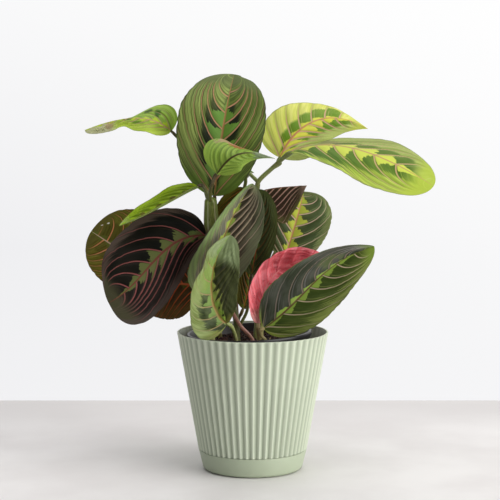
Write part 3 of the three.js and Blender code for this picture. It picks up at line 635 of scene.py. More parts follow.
LOOKS = {
    "crown": new_look(
        ("#4e5e26", "#364818"), ("#a6b864", "#7a8c3e"), ("#0c140a", "#10180a"), ("#6a9440", "#608832"),
        "#c08868", "#a07048", "#343c20", "#5c6838", band_width=(0.42, 0.32), reach=(0.56, 0.5),
        foot="#6a8a34", foot_to=0.17, under="pale", vein_width=0.6, feather=0.8, pale_line=0.6,
    ),
    "lime": new_look(
        ("#dce060", "#b4c45c"), ("#f6f48c", "#d4e08c"), ("#709820", "#6a9420"), "#f0ec58", "#e4ac98",
        "#d8906c", "#98a068", "#d4dc58", feather=0.25, through=0.3, under="pale", vein_width=0.65,
    ),
    "lime_far": new_look(
        ("#94a64e", "#9eb83e"), ("#ced884", "#d6e668"), ("#50741c", "#52781c"), "#dce65c", "#d8ac88",
        "#c88e70", "#747c54", "#bcd048", feather=0.5, through=0.25, under="pale", vein_width=0.65,
        spots=((0.3, -0.25, 0.09, 0.3, "#7c6c50", 0.6), (0.22, -0.7, 0.05, 0.5, "#6c6444", 0.6)),
    ),
    "lime_bent": new_look(
        ("#acca34", "#9cc43c"), ("#d6e86c", "#ccec6c"), "#3c6a20", "#c4dc38", "#c4a878", "#c8987a",
        "#8c9658", "#dcd8b4", band_width=0.2, reach=0.3, blotches=0.4, tip_from=0.7, through=0.3,
        under="pale",
        spots=(
            (0.22, 0.48, 0.04, 0.25, "#2c6420", 0.9), (0.32, 0.72, 0.06, 0.2, "#2c5820", 0.95),
            (0.45, -0.35, 0.1, 0.12, "#4c7c1c", 0.8), (0.56, -0.1, 0.06, 0.1, "#3c6418", 0.8),
            (0.6, 0.5, 0.035, 0.8, "#66781c", 0.6), (0.76, -0.4, 0.05, 0.5, "#b07c64", 0.5),
            (0.82, 0.4, 0.05, 0.4, "#b48c70", 0.35),
        ),
    ),
    "lime_young": new_look(
        ("#7c9c18", "#8cb008"), ("#9cb83c", "#b8d428"), "#486408", "#a0c410", "#7c8c20", "#7c7c20",
        "#64501c", "#b0c468", band_width=0.4, reach=0.7, blotches=0.5, vein_strength=0.6, through=0.3,
        under="pale",
        spots=(
            (0.24, 0.14, 0.03, 0.1, "#4c5c10", 0.8), (0.39, 0.1, 0.05, 0.16, "#4c2c10", 0.85),
            (0.56, 0.1, 0.04, 0.18, "#5c3414", 0.85), (0.74, 0.15, 0.03, 0.2, "#5c3c18", 0.8),
            (0.5, -0.6, 0.5, 0.5, "#9a8454", 0.6),
        ),
    ),
    "lime_rolled": new_look(
        "#86a83c", "#a2bd4a", "#4a7c22", "#9abc30", "#b08a5c", "#a06c44", "#9a7c58", "#98a088",
        under="rolled",
    ),
    # Painted shade: the front look's right half has darker ground, streaks and blotches than its left half.
    "front": new_look(
        ("#6c7c3a", "#343a1c"), ("#9cac70", "#5c6438"), ("#1c2816", "#0e1006"), ("#80a054", "#94a048"),
        ("#b88870", "#8c6448"), "#b89458", "#6c7448", "#8c9c70", blotches=(1.0, 0.9), tip_from=0.74,
        vein_strength=(0.6, 0.12), crease=0.15, pale_line=0.1, mottle=0.4, feather=(0.8, 0.15),
        streaks=(0.85, 0.25), foot=("#949c4c", "#9c9c48"), foot_to=0.12, rib_width=0.06,
        spots=(
            (0.62, -0.4, 0.16, 0.5, "#86a04c", 0.85), (0.1, 0.16, 0.04, 0.16, "#94b848", 0.9),
            (0.2, 0.2, 0.045, 0.18, "#94b848", 0.9), (0.31, 0.18, 0.045, 0.15, "#84a840", 0.85),
            (0.42, 0.12, 0.04, 0.1, "#84a040", 0.8), (0.5, -0.7, 0.12, 0.25, "#8c9c5c", 0.7),
        ),
    ),
    # Painted highlight: the pale grey-violet streaks of the left half stand for sheen beside the veins.
    "front_right": new_look(
        ("#505a42", "#6c7c38"), ("#aca8a4", "#a4b05c"), ("#343c2a", "#42541f"), "#a0c050",
        ("#b89888", "#dcc0a8"), "#6c4636", "#66703c", "#7c9c30", tip_from=0.92,
        margin=("#4c5444", "#8c9850"), margin_from=0.84, vein_width=0.45, vein_strength=(0.5, 0.9),
        crease=(0.8, 0.35), mottle=0.15, foot="#a8b84c", foot_to=0.08,
        spots=((0.72, -0.35, 0.12, 0.3, "#5c6c38", 0.8), (0.74, -0.15, 0.03, 0.2, "#4c3c50", 0.6)),
    ),
    # Painted sheen: the dark look's purple-grey margin colour stands for a sheen near the margin.
    "dark": new_look(
        ("#2c221a", "#1c180e"), ("#584840", "#3a3026"), ("#110e0a", "#0a0c07"), "#5c6436", "#8c4e4c",
        "#6c342c", "#443c34", "#40402c", band_width=(0.3, 0.26), reach=(0.8, 0.95), jag=1.3,
        margin=("#48403a", "#4c4038"), vein_width=0.6, streaks=0.8, through=0.0, shine=0.08,
        spots=((0.12, -0.15, 0.05, 0.14, "#5c7838", 0.9), (0.1, 0.12, 0.04, 0.1, "#5c7038", 0.9)),
    ),
    "centre": new_look(
        ("#7c9450", "#3e362a"), ("#bcc896", "#a8a080"), ("#686060", "#2a221a"), ("#b4cc58", "#94ac4c"),
        ("#a88c74", "#c0a890"), "#a87a5c", "#5c6a48", "#849464", jag=1.3, margin=("#86a860", "#586044"),
        margin_from=0.66, tip_from=0.94, blotches=(0.8, 0.9), vein_strength=(0.5, 0.9),
    ),
    "bright_band": new_look(
        "#7e9056", "#aebc7c", "#4a5c36", "#dcec58", "#ffd8c8", "#f0b080", "#8c9860", "#6c7448", jag=1.2,
        margin="#7c8850", margin_from=0.85, vein_width=0.5,
    ),
    "folded": new_look(
        "#58482e", "#706044", "#3c2e20", "#6c4c30", "#f0bcac", "#8c6048", "#7c6a48", "#a08478", reach=0.9,
        foot="#a8a848", foot_to=0.06, margin="#5c6030", band_width=0.05, vein_width=0.5, vein_strength=1.0,
    ),
    "pink_back": new_look(
        "#3e4a24", "#66703c", "#1e2a14", "#7c9c3c", "#b0605c", "#b0605c", "#4c4a24", "#4c5a2c",
        under="pink",
    ),
    # Painted light: the olive ground and the orange veins and midrib stand for light shining through the leaf
    # from behind.
    "olive": new_look(
        ("#686814", "#626418"), ("#908a34", "#868630"), "#38320c", "#66702a", "#f0a068", "#ecccac",
        "#6c5424", "#66602a", vein_strength=1.0, band_width=0.12, blotches=0.5, through=0.15,
        vein_width=0.65,
        spots=((0.88, 0.51, 0.014, 0.035, "#fffff0", 1), (0.93, 0.45, 0.012, 0.03, "#fffff0", 1)),
    ),
    # Painted light: the brown ground and orange-red veins stand for light shining through the leaf from
    # behind.
    "brown": new_look(
        "#4e3c18", "#66501e", "#2c2410", "#4c5a1e", "#c0582c", "#c4683c", "#4c3a1c", "#4c4218",
        band_width=0.12, reach=0.6, blotches=0.7, through=0.12,
    ),
    "glow": new_look(
        "#5c5c1c", "#7c7828", "#3c3010", "#6c8428", "#d87c40", "#d86834", "#5c3c1c", "#4c4a18",
        vein_strength=0.85, vein_width=0.4, band_width=0.3, reach=0.6, blotches=0.7, through=0.2,
    ),
    "back": new_look(
        "#46542a", "#66703c", "#242c16", "#5c7430", "#8c5434", "#b0583c", "#4c4a24", "#4c5a2c",
        vein_strength=0.45, band_width=0.14, reach=0.6, blotches=0.7,
    ),
}


def sided(graph, right, value):
    """A look's colour or number as an input, which may differ between the left and the right half."""
    if not isinstance(value, tuple):
        return value
    left, other = value
    if isinstance(left, str):
        return graph.mix(right, left, other)
    return left + right * (other - left)


def paint_spots(graph, t, u, spots, uneven):
    for place, across, length, breadth, tint, strength in spots:
        down = (t - place) * (1 / length)
        over = (u - across) * (1 / breadth)
        distance = graph.math("SQRT", down * down + over * over) + (uneven - 0.5) * 1.2
        graph.paint(distance.step(1.05, 0.6) * strength, tint)


def upper_side(name, leaf, look):
    graph = Graph(name + "_upper")
    seed = leaf["phase"] * 10
    t, u, vein, spacing = (graph.attribute(key) for key in ("along", "share", "vein", "spacing"))
    right = graph.math("GREATER_THAN", u, 0)
    share = abs(u)
    layer = right * 11 + seed
    between = graph.math("FRACT", vein)
    from_vein = graph.math("PINGPONG", vein, 0.5) * spacing
    jag = graph.noise((vein * 5, share * 9, layer), detail=1)
    streak = graph.noise((vein * 4.5, share * 1.3, layer), detail=3)
    fine = graph.noise((vein * 16, share * 2.5, layer), detail=1)
    cloud = graph.noise((t * 4, u * 2, seed), detail=3)

    def value(key):
        return sided(graph, right, look[key])

    tooth = between.step(0, 0.12) * 1.35 - between * 1.15
    width = (tooth + (jag - 0.5) * (0.7 * look["jag"])) * graph.attribute("band_width")
    in_band = (share - width).step(0.012, -0.012)
    reach = ((streak + fine - 1) * value("feather") + 1) * graph.attribute("reach")
    in_blotch = (share - reach).step(0.06, -0.04) * from_vein.step(0.3, 0.9) * value("blotches")
    in_tip = (t + cloud * 0.08).step(look["tip_from"], look["tip_from"] + 0.12)

    graph.shade = value("outer")
    graph.paint(streak.step(0.36, 0.64) * value("streaks"), value("streak"))
    if look["foot"]:
        in_foot = (t + cloud * 0.1).step(look["foot_to"] + 0.1, look["foot_to"] - 0.05)
        graph.paint(in_foot, value("foot"))
    graph.paint(in_tip * 0.9, value("tip"))
    graph.paint(in_blotch * (1 - in_tip), value("blotch"))
    pale_line = (abs(between - 0.22) * spacing).step(0.6, 0.1) * share.step(0.65, 0.4)
    graph.paint(pale_line * look["pale_line"], value("streak"))
    plain = graph.math("MAXIMUM", in_tip, in_blotch * 0.75)
    graph.paint(fine.step(0.45, 0.8) * (0.4 - plain * 0.4), value("streak"))
    # The margin colour along the blade's edge: the leaf's own tone, but on the dark look a painted sheen.
    if look["margin"]:
        ragged = share + (streak - 0.5) * 0.4
        in_margin = ragged.step(look["margin_from"] - 0.04, look["margin_from"] + 0.1)
        graph.paint(in_margin * t.step(0.02, 0.12) * 0.85, value("margin"))
    graph.paint(in_band, value("band"))
    apart = spacing.step(1.8, 4.2) * (1 - in_tip)
    # Painted shade in the creases beside the veins, in the blotch colour, where the veins lie far enough
    # apart.
    graph.paint(from_vein.step(2.4, 0.3) * value("crease") * apart, value("blotch"))
    paint_spots(graph, t, u, look["spots"], jag)
    half_width = (share.step(1, 0) * 0.5 + 0.5) * look["vein_width"]
    on_vein = (from_vein - half_width).step(0.22, -0.22) * vein.step(-0.6, -0.3)
    on_vein = on_vein * apart * (1 - share.step(0.3, 1) * 0.6)
    graph.paint(on_vein * value("vein_strength"), value("vein"))
    rib_width = (1 - t) * look["rib_width"] + 0.01
    graph.paint((share - rib_width).step(0.01, -0.01) * 0.9, value("rib"))
    graph.paint(share.step(0.955, 0.99) * t.step(0.02, 0.12) * 0.75, value("edge"))
    graph.paint(cloud.step(0.35, 0.75) * look["mottle"], value("streak"))
    relief = graph.noise(graph.place(), scale=1500) * 0.25 + (on_vein * -0.7 + fine * 0.5)
    bumps = dict(relief=relief, strength=0.45, depth=0.5)
    return graph.surface(LEAF_ROUGHNESS, **bumps, shine=look["shine"], through=look["through"])


def underside(name, base, vein, rib, streak, through, spots=()):
    graph = Graph("leaf_under_" + name, base)
    t, u, number, spacing = (graph.attribute(key) for key in ("along", "share", "vein", "spacing"))
    right = graph.math("GREATER_THAN", u, 0)
    share = abs(u)
    from_vein = graph.math("PINGPONG", number, 0.5) * spacing
    lines = graph.noise((number * 8, share * 1.5, right))
    fine = graph.noise((number * 34, share * 2.5, right), detail=1)
    graph.paint(lines.step(0.35, 0.65), streak)
    graph.paint(fine.step(0.4, 0.75) * 0.35, streak)
    # A darker line along each vein; on the pink underside it is painted shade in the creases.
    graph.paint(from_vein.step(1.3, 0.4) * spacing.step(1.5, 3.5) * 0.6, vein)
    graph.paint((share - ((1 - t) * 0.03 + 0.012)).step(0.012, -0.012), rib)
    paint_spots(graph, t, u, spots, graph.noise((t * 22, u * 7, 0)))
    relief = graph.noise(graph.place(), scale=1200) * 0.4 + fine * 0.4
    return graph.surface(LEAF_ROUGHNESS, relief, strength=0.3, depth=0.4, shine=0.3, through=through)


DRY_PATCHES = (
    (0.62, 0.75, 0.16, 0.3, "#b0603c", 0.8),
    (0.5, 0.9, 0.25, 0.14, "#c09a80", 0.7),
    (0.9, 0, 0.14, 1.2, "#8c9a84", 0.7),
)
PINK_PATCHES = (
    (0.78, 0.1, 0.2, 1, "#a82430", 0.7),
    (0.6, 0.75, 0.12, 0.3, "#c03c44", 0.5),
    (0, 0, 0.16, 1.5, "#e8a49c", 0.8),
)
UNDERSIDES = {
    "red": underside("red", "#a8344a", "#8a2838", "#b86a5c", "#b8485a", 0.12),
    "pale": underside("pale", "#8aa650", "#76923c", "#5c6a2c", "#a0b866", 0.2),
    "pink": underside("pink", "#ff7680", "#e04854", "#ffb4ac", "#ff9ca4", 0, PINK_PATCHES),
    "rolled": underside("rolled", "#7ea438", "#5e7c28", "#4a4418", "#a4be50", 0.25, DRY_PATCHES),
}

# Leaves. rib holds the midrib's Bezier points, face the way the upper side looks, and half the breadth of
# each half. fold and curl are the angle at the midrib and the turn from there to the margin. A list holds
# Bezier weights from base to tip or, for band_width and reach, a value for each interval between veins. run
# says how the veins of each half lean, sweep, gather and start, and fan spreads them from the base instead.
# A notch has a side, a place along, a depth and a width.
SIDED_KEYS = ("widest", "point", "half", "fold", "curl")
LEAF_DEFAULTS = dict(
    widest=0.5, point=0.5, fold=0, curl=0, wave=1.2, quilt=1.1, crumple=0, veins=8,
    run=((0.25, 0.35, 1, 0.5), (0.25, 0.35, 1, 0.85)), fan=None, notches=(),
)


def new_leaf(look, half, rib, face, **rest):
    return {**LEAF_DEFAULTS, "look": look, "half": half, "rib": rib, "face": face, **rest}


LEAVES = {
    "leaf_crown": new_leaf(
        "crown", (43, 38), [(-35, 0, 253), (-30, -12, 299), (-25, -18, 332), (-17, 12, 364)],
        [(0, -1, 0.1), (0.05, -1, 0.35), (0, -0.7, 0.8)], widest=0.56, point=0.44, fold=10, curl=-22,
        notches=((1, 0.985, 0.4, 0.012),), veins=7, run=((0.25, 0.3, 2, 0.5), (0.3, 0.22, 2, 0.2)),
        band_width=([0, 0.1, 0.3, 0.34, 0.36, 0.3, 0.05, 0], [0, 0.1, 0.3, 0.32, 0.34, 0.18, 0.05, 0]),
        reach=([0, 0.3, 0.46, 0.46, 0.44, 0.38, 0.04, 0], [0, 0.1, 0.34, 0.38, 0.38, 0.2, 0]),
    ),
    "leaf_curled": new_leaf(
        "lime_rolled", (15, 28), [(-32, -34, 275), (-21, -46, 289), (-14, -47, 301), (20, -26, 288)],
        [(0.1, 1, 0.05), (0.1, 1, 0)], widest=(0.35, 0.3), point=1.3, fold=(15, [-10, 60, 95]), curl=10,
        wave=0.5,
    ),
    "leaf_far_left": new_leaf(
        "lime_bent", (14, 24), [(-75, 10, 312), (-94, 2, 330), (-122, 0, 326), (-154, 4, 313)],
        [(0.2, -1, 0.3), (0, -1, 0.6)], widest=(0.3, 0.26), point=(0.4, 0.5), fold=(10, [20, -110, -60]),
        notches=((-1, 0.62, 0.35, 0.09),),
    ),
    "leaf_young_left": new_leaf(
        "lime_young", (12, 16), [(-50, -9, 262), (-63, -16, 257), (-93, -23, 237), (-120, -34, 228)],
        [(-0.2, -0.9, 0.6)], widest=0.42, point=0.8, fold=(60, -10),
    ),
    "leaf_upper_right": new_leaf(
        "lime", (35, 28), [(25, 2, 288), (36, 3, 314), (64, 14, 339), (107, 24, 314)],
        [(-0.3, -1, 0.4), (0, -0.7, 0.7)], widest=0.34, point=1, fold=([5, -32], -45), veins=7.5,
        run=((0.27, 0, 0, 0.2), (0.6, 0.2, 0.2, 0.5)),
        band_width=(
            [0.1, 0.1, 0.1, 0.08, 0.12, 0.12, 0.1, 0.05, 0],
            [0.2, 0.35, 0.4, 0.45, 0.42, 0.3, 0.2, 0.12, 0],
        ),
        reach=([0, 0.1, 0.3, 0.33, 0.42, 0.55, 0.78, 0], [0.2, 0.28, 0.42, 0.5, 0.5, 0.5, 0.45, 0.32, 0]),
    ),
    "leaf_far_right": new_leaf(
        "lime_far", (32, 35), [(35, -14, 293), (68, -29, 310), (110, -49, 297), (159, -58, 265)],
        [(0.1, -0.8, 0.7), (0.2, -0.9, 0.5)], widest=(0.6, 0.62), fold=([-50, -10], [50, 0, 0]), veins=7,
        run=((0.6, 0.1, 0.3, 0.6), (0.14, 0.14, 2, 0.6)),
        band_width=(
            [0, 0.05, 0.08, 0.12, 0.26, 0.3, 0.26, 0.1, 0],
            [0.2, 0.3, 0.45, 0.42, 0.38, 0.28, 0.2, 0.14, 0],
        ),
        reach=([0, 0, 0, 0.4, 0.45, 0.5, 0.58, 0.5, 0], [0.8, 0.85, 0.85, 0.75, 0.65, 0.5, 0.38, 0.36, 0]),
    ),
    "leaf_folded": new_leaf(
        "folded", (16, 34), [(8, 14, 257), (20, 12, 261), (34, 10, 261), (50, 8, 262)], [(0, -0.2, 1)],
        widest=0.45, point=1.2, fold=(-28, -62), veins=6, fan=0.9,
    ),
    "leaf_mid_right": new_leaf(
        "bright_band", (28, 32), [(30, 24, 193), (37, 18, 217), (47, 25, 246), (47, 34, 255)],
        [(0.1, -1, 0.2), (0.1, -1, 0.4)], widest=0.55, fold=8, curl=-10, veins=6.4,
        run=((0.35, 0.1, 0.5, 0.9), (0.2, 0.14, 1.5, 0.4)),
        band_width=(
            [0.2, 0.25, 0.25, 0.26, 0.25, 0.22, 0.15, 0.06],
            [0.2, 0.3, 0.3, 0.28, 0.28, 0.25, 0.18, 0.05],
        ),
        reach=(0.95, 0.85),
    ),
    "leaf_centre": new_leaf(
        "centre", (24, 32), [(-46, -22, 163), (-30, -28, 208), (-20, -29, 240), (0, -14, 265)],
        [(0.2, -1, 0.2), (-0.2, -1, 0.3)], widest=(0.26, 0.5), point=(0.8, 0.6), fold=([0, 75, 80], 5),
        veins=7, run=((0.4, 0.1, 0.5, 0.5), (0.8, 0.05, 1.5, 0.4)),
        band_width=(
            [0.1, 0.1, 0.1, 0.1, 0.2, 0.22, 0.2, 0.1, 0],
            [0.12, 0.1, 0.1, 0.1, 0.12, 0.12, 0.08, 0],
        ),
        reach=(0.6, 0.95),
    ),
    "leaf_dark_left": new_leaf(
        "dark", (34, 41), [(-43, -6, 217), (-84, -19, 221), (-95, -36, 176), (-129, -46, 160)],
        [(0, -1, 0.3)], widest=(0.8, 0.55), point=(0.33, 0.5), fold=([-25, -35, 0], 0), veins=7.5,
        run=((0.35, 0.55, 2, 0.6), (0.17, 0.14, 2, 0.0)),
        band_width=(
            [0.2, 0.25, 0.25, 0.28, 0.3, 0.24, 0.16, 0.08, 0],
            [0.1, 0.18, 0.27, 0.22, 0.22, 0.18, 0.12, 0.05, 0],
        ),
        reach=(0.9, 0.95),
    ),
    "leaf_back_left": new_leaf(
        "olive", (34, 44), [(-83, 22, 172), (-105, 29, 187), (-131, 32, 204), (-153, 42, 217)],
        [(0, -1, 0.2)], run=((0.5, 0.05, 0.3, 0.5), (0.12, 0.3, 0.6, 0.8)),
    ),
    "leaf_low_left": new_leaf(
        "brown", (33, 30), [(-44, 8, 166), (-69, 8, 176), (-96, 9, 169), (-113, 0, 159)], [(0, -1, 0.1)],
        widest=0.42, run=((0.4, 0.1, 0.3, 0.5), (0.35, 0.1, 0.3, 0.8)),
    ),
    "leaf_front_left": new_leaf(
        "front", (30, 25), [(-23, -38, 140), (-41, -46, 152), (-44, -58, 193), (-20, -36, 220)],
        [(0.1, -1, 0.1), (0.1, -1, 0.2)], widest=(0.25, 0.6), point=(1, 0.5),
        fold=([0, 70, 40], [45, 0, 30]), crumple=0.7,
        notches=((-1, 0.66, 0.3, 0.09), (-1, 0.9, 0.08, 0.04)),
        run=((0.1, 0.1, 0.5, 0.6), (0.6, 0.2, 0.5, 0.6)),
        band_width=(
            [0.2, 0.24, 0.26, 0.3, 0.32, 0.4, 0.4, 0.4, 0.3],
            [0.2, 0.3, 0.36, 0.36, 0.3, 0.16, 0.1, 0.05, 0],
        ),
        reach=([0, 0.5, 0.6, 0.64, 0.5, 0], [0.4, 0.6, 0.9, 1]),
    ),
    "leaf_pink": new_leaf(
        "pink_back", (22, 18), [(5, -22, 138), (8, -29, 173), (14, -27, 196), (64, -16, 198)],
        [(-0.1, 1, -0.1), (-0.1, 1, 0)], widest=(0.5, 0.64), point=0.6, fold=(5, -30), quilt=3,
        crumple=0.9, veins=6, run=((0.3, 0, 0.3, 0.5), (0.3, 0, 0.3, 0.5)),
    ),
    "leaf_front_right": new_leaf(
        "front_right", (30, 31), [(10, -27, 134), (51, -34, 164), (57, -44, 195), (108, -48, 211)],
        [(0, -1, 0.2)], widest=(0.36, 0.45), point=(0.8, 0.5), fold=([15, 60], 10), veins=7,
        run=((0.15, 0.2, 2.2, 0.4), (0.15, 0.16, 2, 0.9)),
        band_width=(
            [0.05, 0.1, 0.16, 0.15, 0.09, 0.1, 0.09, 0.05, 0],
            [0.1, 0.13, 0.15, 0.16, 0.17, 0.18, 0.15, 0.1, 0],
        ),
        reach=(0.95, 0.75),
    ),
    "leaf_centre_back": new_leaf(
        "back", (18, 17), [(-1, 2, 180), (3, 3, 207), (13, -8, 238), (5, -4, 259)],
        [(0, -1, 0.1), (0, -1, 0.2)], point=0.6, fold=(0, 20),
    ),
    "leaf_low_back": new_leaf(
        "glow", 13, [(-9, 12, 147), (-2, 16, 166), (-1, 13, 188), (4, 14, 209)],
        [(0.3, -1, 0.1), (0.3, -1, 0.2)], point=0.6,
    ),
    "leaf_dark_back": new_leaf(
        "glow", (12, 18), [(-8, 12, 260), (-14, 17, 242), (-24, 18, 222), (-30, 16, 198)], [(0, -1, -0.1)],
        point=0.6,
    ),
    "leaf_rear_high": new_leaf(
        "crown", 30, [(-8, 34, 275), (-15, 60, 295), (-32, 76, 317), (-39, 66, 329)],
        [(0, 0.6, 0.8), (0, 1, 0.3)], fold=10, curl=-10,
    ),
    "leaf_rear_left": new_leaf(
        "crown", 28, [(-63, 40, 182), (-79, 62, 200), (-104, 85, 214), (-121, 98, 186)],
        [(-0.2, 0.3, 1), (-0.5, 0.8, 0.5)], fold=8, curl=-10,
    ),
    "leaf_rear_right": new_leaf(
        "crown", 27, [(32, 48, 212), (42, 69, 231), (52, 95, 227), (63, 110, 209)],
        [(0.1, 0.1, 1), (0.3, 0.8, 0.6)], fold=8, curl=-10,
    ),
    "leaf_rear_low": new_leaf(
        "crown", 29, [(-29, 42, 159), (-30, 64, 173), (-37, 95, 179), (-40, 108, 151)],
        [(0, 0.1, 1), (-0.1, 0.8, 0.6)], fold=8, curl=-10,
    ),
    "leaf_rear_mid": new_leaf(
        "dark", 30, [(-22, 46, 212), (-21, 71, 228), (-24, 93, 232), (-20, 112, 210)],
        [(0, 0.1, 1), (0.1, 0.8, 0.6)], fold=8, curl=-10, notches=((-1, 0.45, 0.22, 0.3),),
    ),
}


# Stems. A branch is the leaf that it carries, its radius at the foot and at the end, and the points on its
# way. The first one of a stem starts at the root.


def new_stem(root, colours, *branches, sheath=None):
    return {"root": root, "colours": colours, "branches": branches, "sheath": sheath}


STEMS = {
    "stem_tall_left": new_stem(
        (-14, -8), ("#6f7a3a", "#3e3012"),
        (
            None, 2.8, 2.8, (-15, -6, 136), (-21, -1, 165), (-29, 3, 192), (-36, 3, 216), (-38, -3, 236),
            (-38.5, -7, 248),
        ),
        ("leaf_crown", 2, 1.5, (-38, -3, 238), (-37, 1, 244)),
        ("leaf_curled", 2, 1.4, (-38.5, -7, 246), (-38.6, -20, 257), (-36.2, -30, 266)),
        ("leaf_young_left", 1.8, 1.3, (-38.5, -7, 246), (-42, -11.5, 257)),
        ("leaf_far_left", 2, 1.1, (-37, 1, 230), (-42, 14, 250), (-54, 20, 284)),
        ("leaf_dark_left", 2, 1.5, (-31, 3, 200), (-34.5, -1, 212)),
        ("leaf_centre_back", 1.6, 1.3, (-15, -6, 128), (-10, -3, 137), (-5.5, -1, 146), (-3, 0, 162)),
        sheath=[(-37, 1, 218), (-38, -2, 230), (-38.3, -4, 238), (-38.5, -8, 252)],
    ),
    "stem_tall_right": new_stem(
        (3, 8), ("#7f8a48", "#6c7a3c"),
        (
            None, 2.6, 2.3, (4, 18, 140), (0, 23, 165), (-1, 24, 195), (1, 17, 225), (3, 9, 245),
            (4, 1, 258), (5, -4, 266),
        ),
        ("leaf_far_right", 2.2, 1.9, (4, 1, 258), (5, -4, 266), (18, -7, 279)),
        ("leaf_upper_right", 1.9, 1.5, (18, -7, 279), (25, -5, 283)),
        ("leaf_dark_back", 1.9, 1.2, (5, -4, 266), (0, 1, 270.5), (-3.5, 6, 273.5), (-6, 10, 270)),
        ("leaf_rear_high", 1.7, 1.3, (0, 1, 270.5), (-3.5, 9, 273), (-5, 22, 270)),
        ("leaf_folded", 1.6, 1.3, (1, 17, 225), (5, 16, 238), (4.5, 15.5, 250)),
    ),
    "stem_rear_left": new_stem(
        (-31, 28), ("#a8a860", "#7c8a48"),
        ("leaf_rear_left", 2.4, 1.4, (-33, 31, 138), (-42, 32, 157), (-54, 33, 173)),
        ("leaf_rear_low", 1.8, 1.4, (-33, 31, 136), (-29, 33, 148)),
    ),
    "stem_rear_mid": new_stem(
        (-14, 20), ("#6f5a34", "#6a5a2e"),
        ("leaf_rear_mid", 2.4, 1.4, (-15, 24, 140), (-17, 28, 170), (-20, 34, 196)),
        ("leaf_low_back", 1.6, 1.2, (-14.5, 21, 128), (-13, 17, 137)),
        ("leaf_back_left", 1.8, 1.4, (-15, 24, 140), (-25, 23, 151), (-46, 20, 160), (-68, 19, 165)),
    ),
    "stem_rear_right": new_stem(
        (8, 24), ("#a8a860", "#7c8a48"),
        ("leaf_rear_right", 2.3, 1.4, (9, 28, 145), (12, 33, 172), (20, 38, 195)),
        ("leaf_mid_right", 1.8, 1.4, (11, 32, 165), (19, 31, 176)),
    ),
    "stalk_centre": new_stem(
        (-36, -15), ("#b4b478", "#8a9a50"),
        ("leaf_centre", 1.9, 1.5, (-38, -15, 132), (-45, -18, 148)),
    ),
    "stalk_low_left": new_stem(
        (0, -10), ("#d89c8c", "#b87868"),
        ("leaf_low_left", 1.9, 1.3, (-4, -9, 126), (-11, -12, 134), (-18, -12, 146), (-26, -4, 156)),
    ),
    "stalk_front_left": new_stem(
        (-15, -24), ("#c0bd84", "#a0ac64"),
        ("leaf_front_left", 2, 1.5, (-16, -29, 128)),
    ),
    "stalk_pink": new_stem(
        (6, -16), ("#c4c470", "#c8b484"),
        ("leaf_pink", 2.7, 1.6, (5.5, -18, 127)),
    ),
    "stalk_front_right": new_stem(
        (13, -22), ("#b8bc68", "#b8a874"),
        ("leaf_front_right", 2, 1.5, (8, -25, 127)),
        (None, 1.6, 0.5, (13, -22, 112), (15, -20, 119), (16, -19, 125)),
    ),
}


def petiole_end(name):
    """Two points that carry a petiole on to its leaf's base, and just into the midrib."""
    base, following = (np.array(point, float) for point in LEAVES[name]["rib"][:2])
    ahead = unit(following - base)
    return [base - ahead * PETIOLE_RUN, base + ahead * PETIOLE_SINK]


def blend(a, b, start, end, t):
    """The place at time t on the line that is at a when it starts and at b when it ends."""
    return ((end - t) * a + (t - start) * b) / (end - start)


def catmull_rom(points):
    """Many points along a centripetal Catmull-Rom curve through the given ones."""
    points = np.array(points, float)
    points = np.concatenate([[2 * points[0] - points[1]], points, [2 * points[-1] - points[-2]]])
    dense = []
    for p0, p1, p2, p3 in zip(points, points[1:], points[2:], points[3:]):
        gaps = [math.sqrt(np.linalg.norm(b - a)) for a, b in ((p0, p1), (p1, p2), (p2, p3))]
        t0, t1, t2, t3 = np.cumsum([0, *gaps])
        t = np.linspace(t1, t2, CURVE_STEPS, endpoint=False)[:, None]
        first = blend(p0, p1, t0, t1, t)
        middle = blend(p1, p2, t1, t2, t)
        last = blend(p2, p3, t2, t3, t)
        dense.append(blend(blend(first, middle, t0, t2, t), blend(middle, last, t1, t3, t), t1, t2, t))
    return np.concatenate(dense + [[points[-2]]])


def resampled(curve):
    """The curve in even steps, and its length."""
    lengths = np.concatenate([[0], np.cumsum(np.linalg.norm(np.diff(curve, axis=0), axis=1))])
    stations = np.linspace(0, lengths[-1], max(4, round(lengths[-1] / STEM_STEP)) + 1)
    return np.stack([np.interp(stations, lengths, curve[:, axis]) for axis in range(3)], 1), lengths[-1]


def tube(path, first_radius, last_radius, to_leaf):
    """A round stalk; where it carries a leaf it swells to the joint below the blade."""
    centre, length = resampled(catmull_rom(path))
    share = np.linspace(0, 1, len(centre))
    radius = first_radius + (last_radius - first_radius) * share
    end = smooth(share, 1 - END_LENGTH / length, 1)
    if to_leaf:
        swelling = smooth(share, 1 - JOINT_LENGTH / length, 1 - JOINT_LENGTH / length / 2)
        radius = radius * (1 + JOINT_SWELL * swelling) * (1 - PETIOLE_TAPER * end)
    else:
        radius = radius * np.sqrt(1 - BRANCH_TAPER * end)
    tangent = unit(np.gradient(centre, axis=0))
    normal = unit(np.cross(tangent[0], RING_START))
    angles = TURN / STEM_SIDES * np.arange(STEM_SIDES)
    points = []
    for here, direction, size in zip(centre, tangent, radius):
        normal = unit(normal - direction * np.dot(normal, direction))
        side = np.cross(direction, normal)
        points.append(here + size * (np.cos(angles)[:, None] * normal + np.sin(angles)[:, None] * side))
    return np.concatenate(points), ring_faces(len(centre), STEM_SIDES), np.repeat(share, STEM_SIDES)


def stem_material(name, foot, tip):
    graph = Graph(name, foot)
    height = graph.attribute("along")
    mottle = graph.noise(graph.place(), scale=130, detail=3)
    fibre = graph.noise((height * 3, graph.attribute("round"), 0), scale=6)
    graph.paint(height.step(0.1, 0.9), tip)
    graph.paint(mottle.step(0.45, 0.7) * 0.35, "#5a4a24")
    graph.paint(fibre.step(0.5, 0.75) * 0.3, "#c8cc94")
    return graph.surface(0.45, fibre, strength=0.2, depth=0.4)


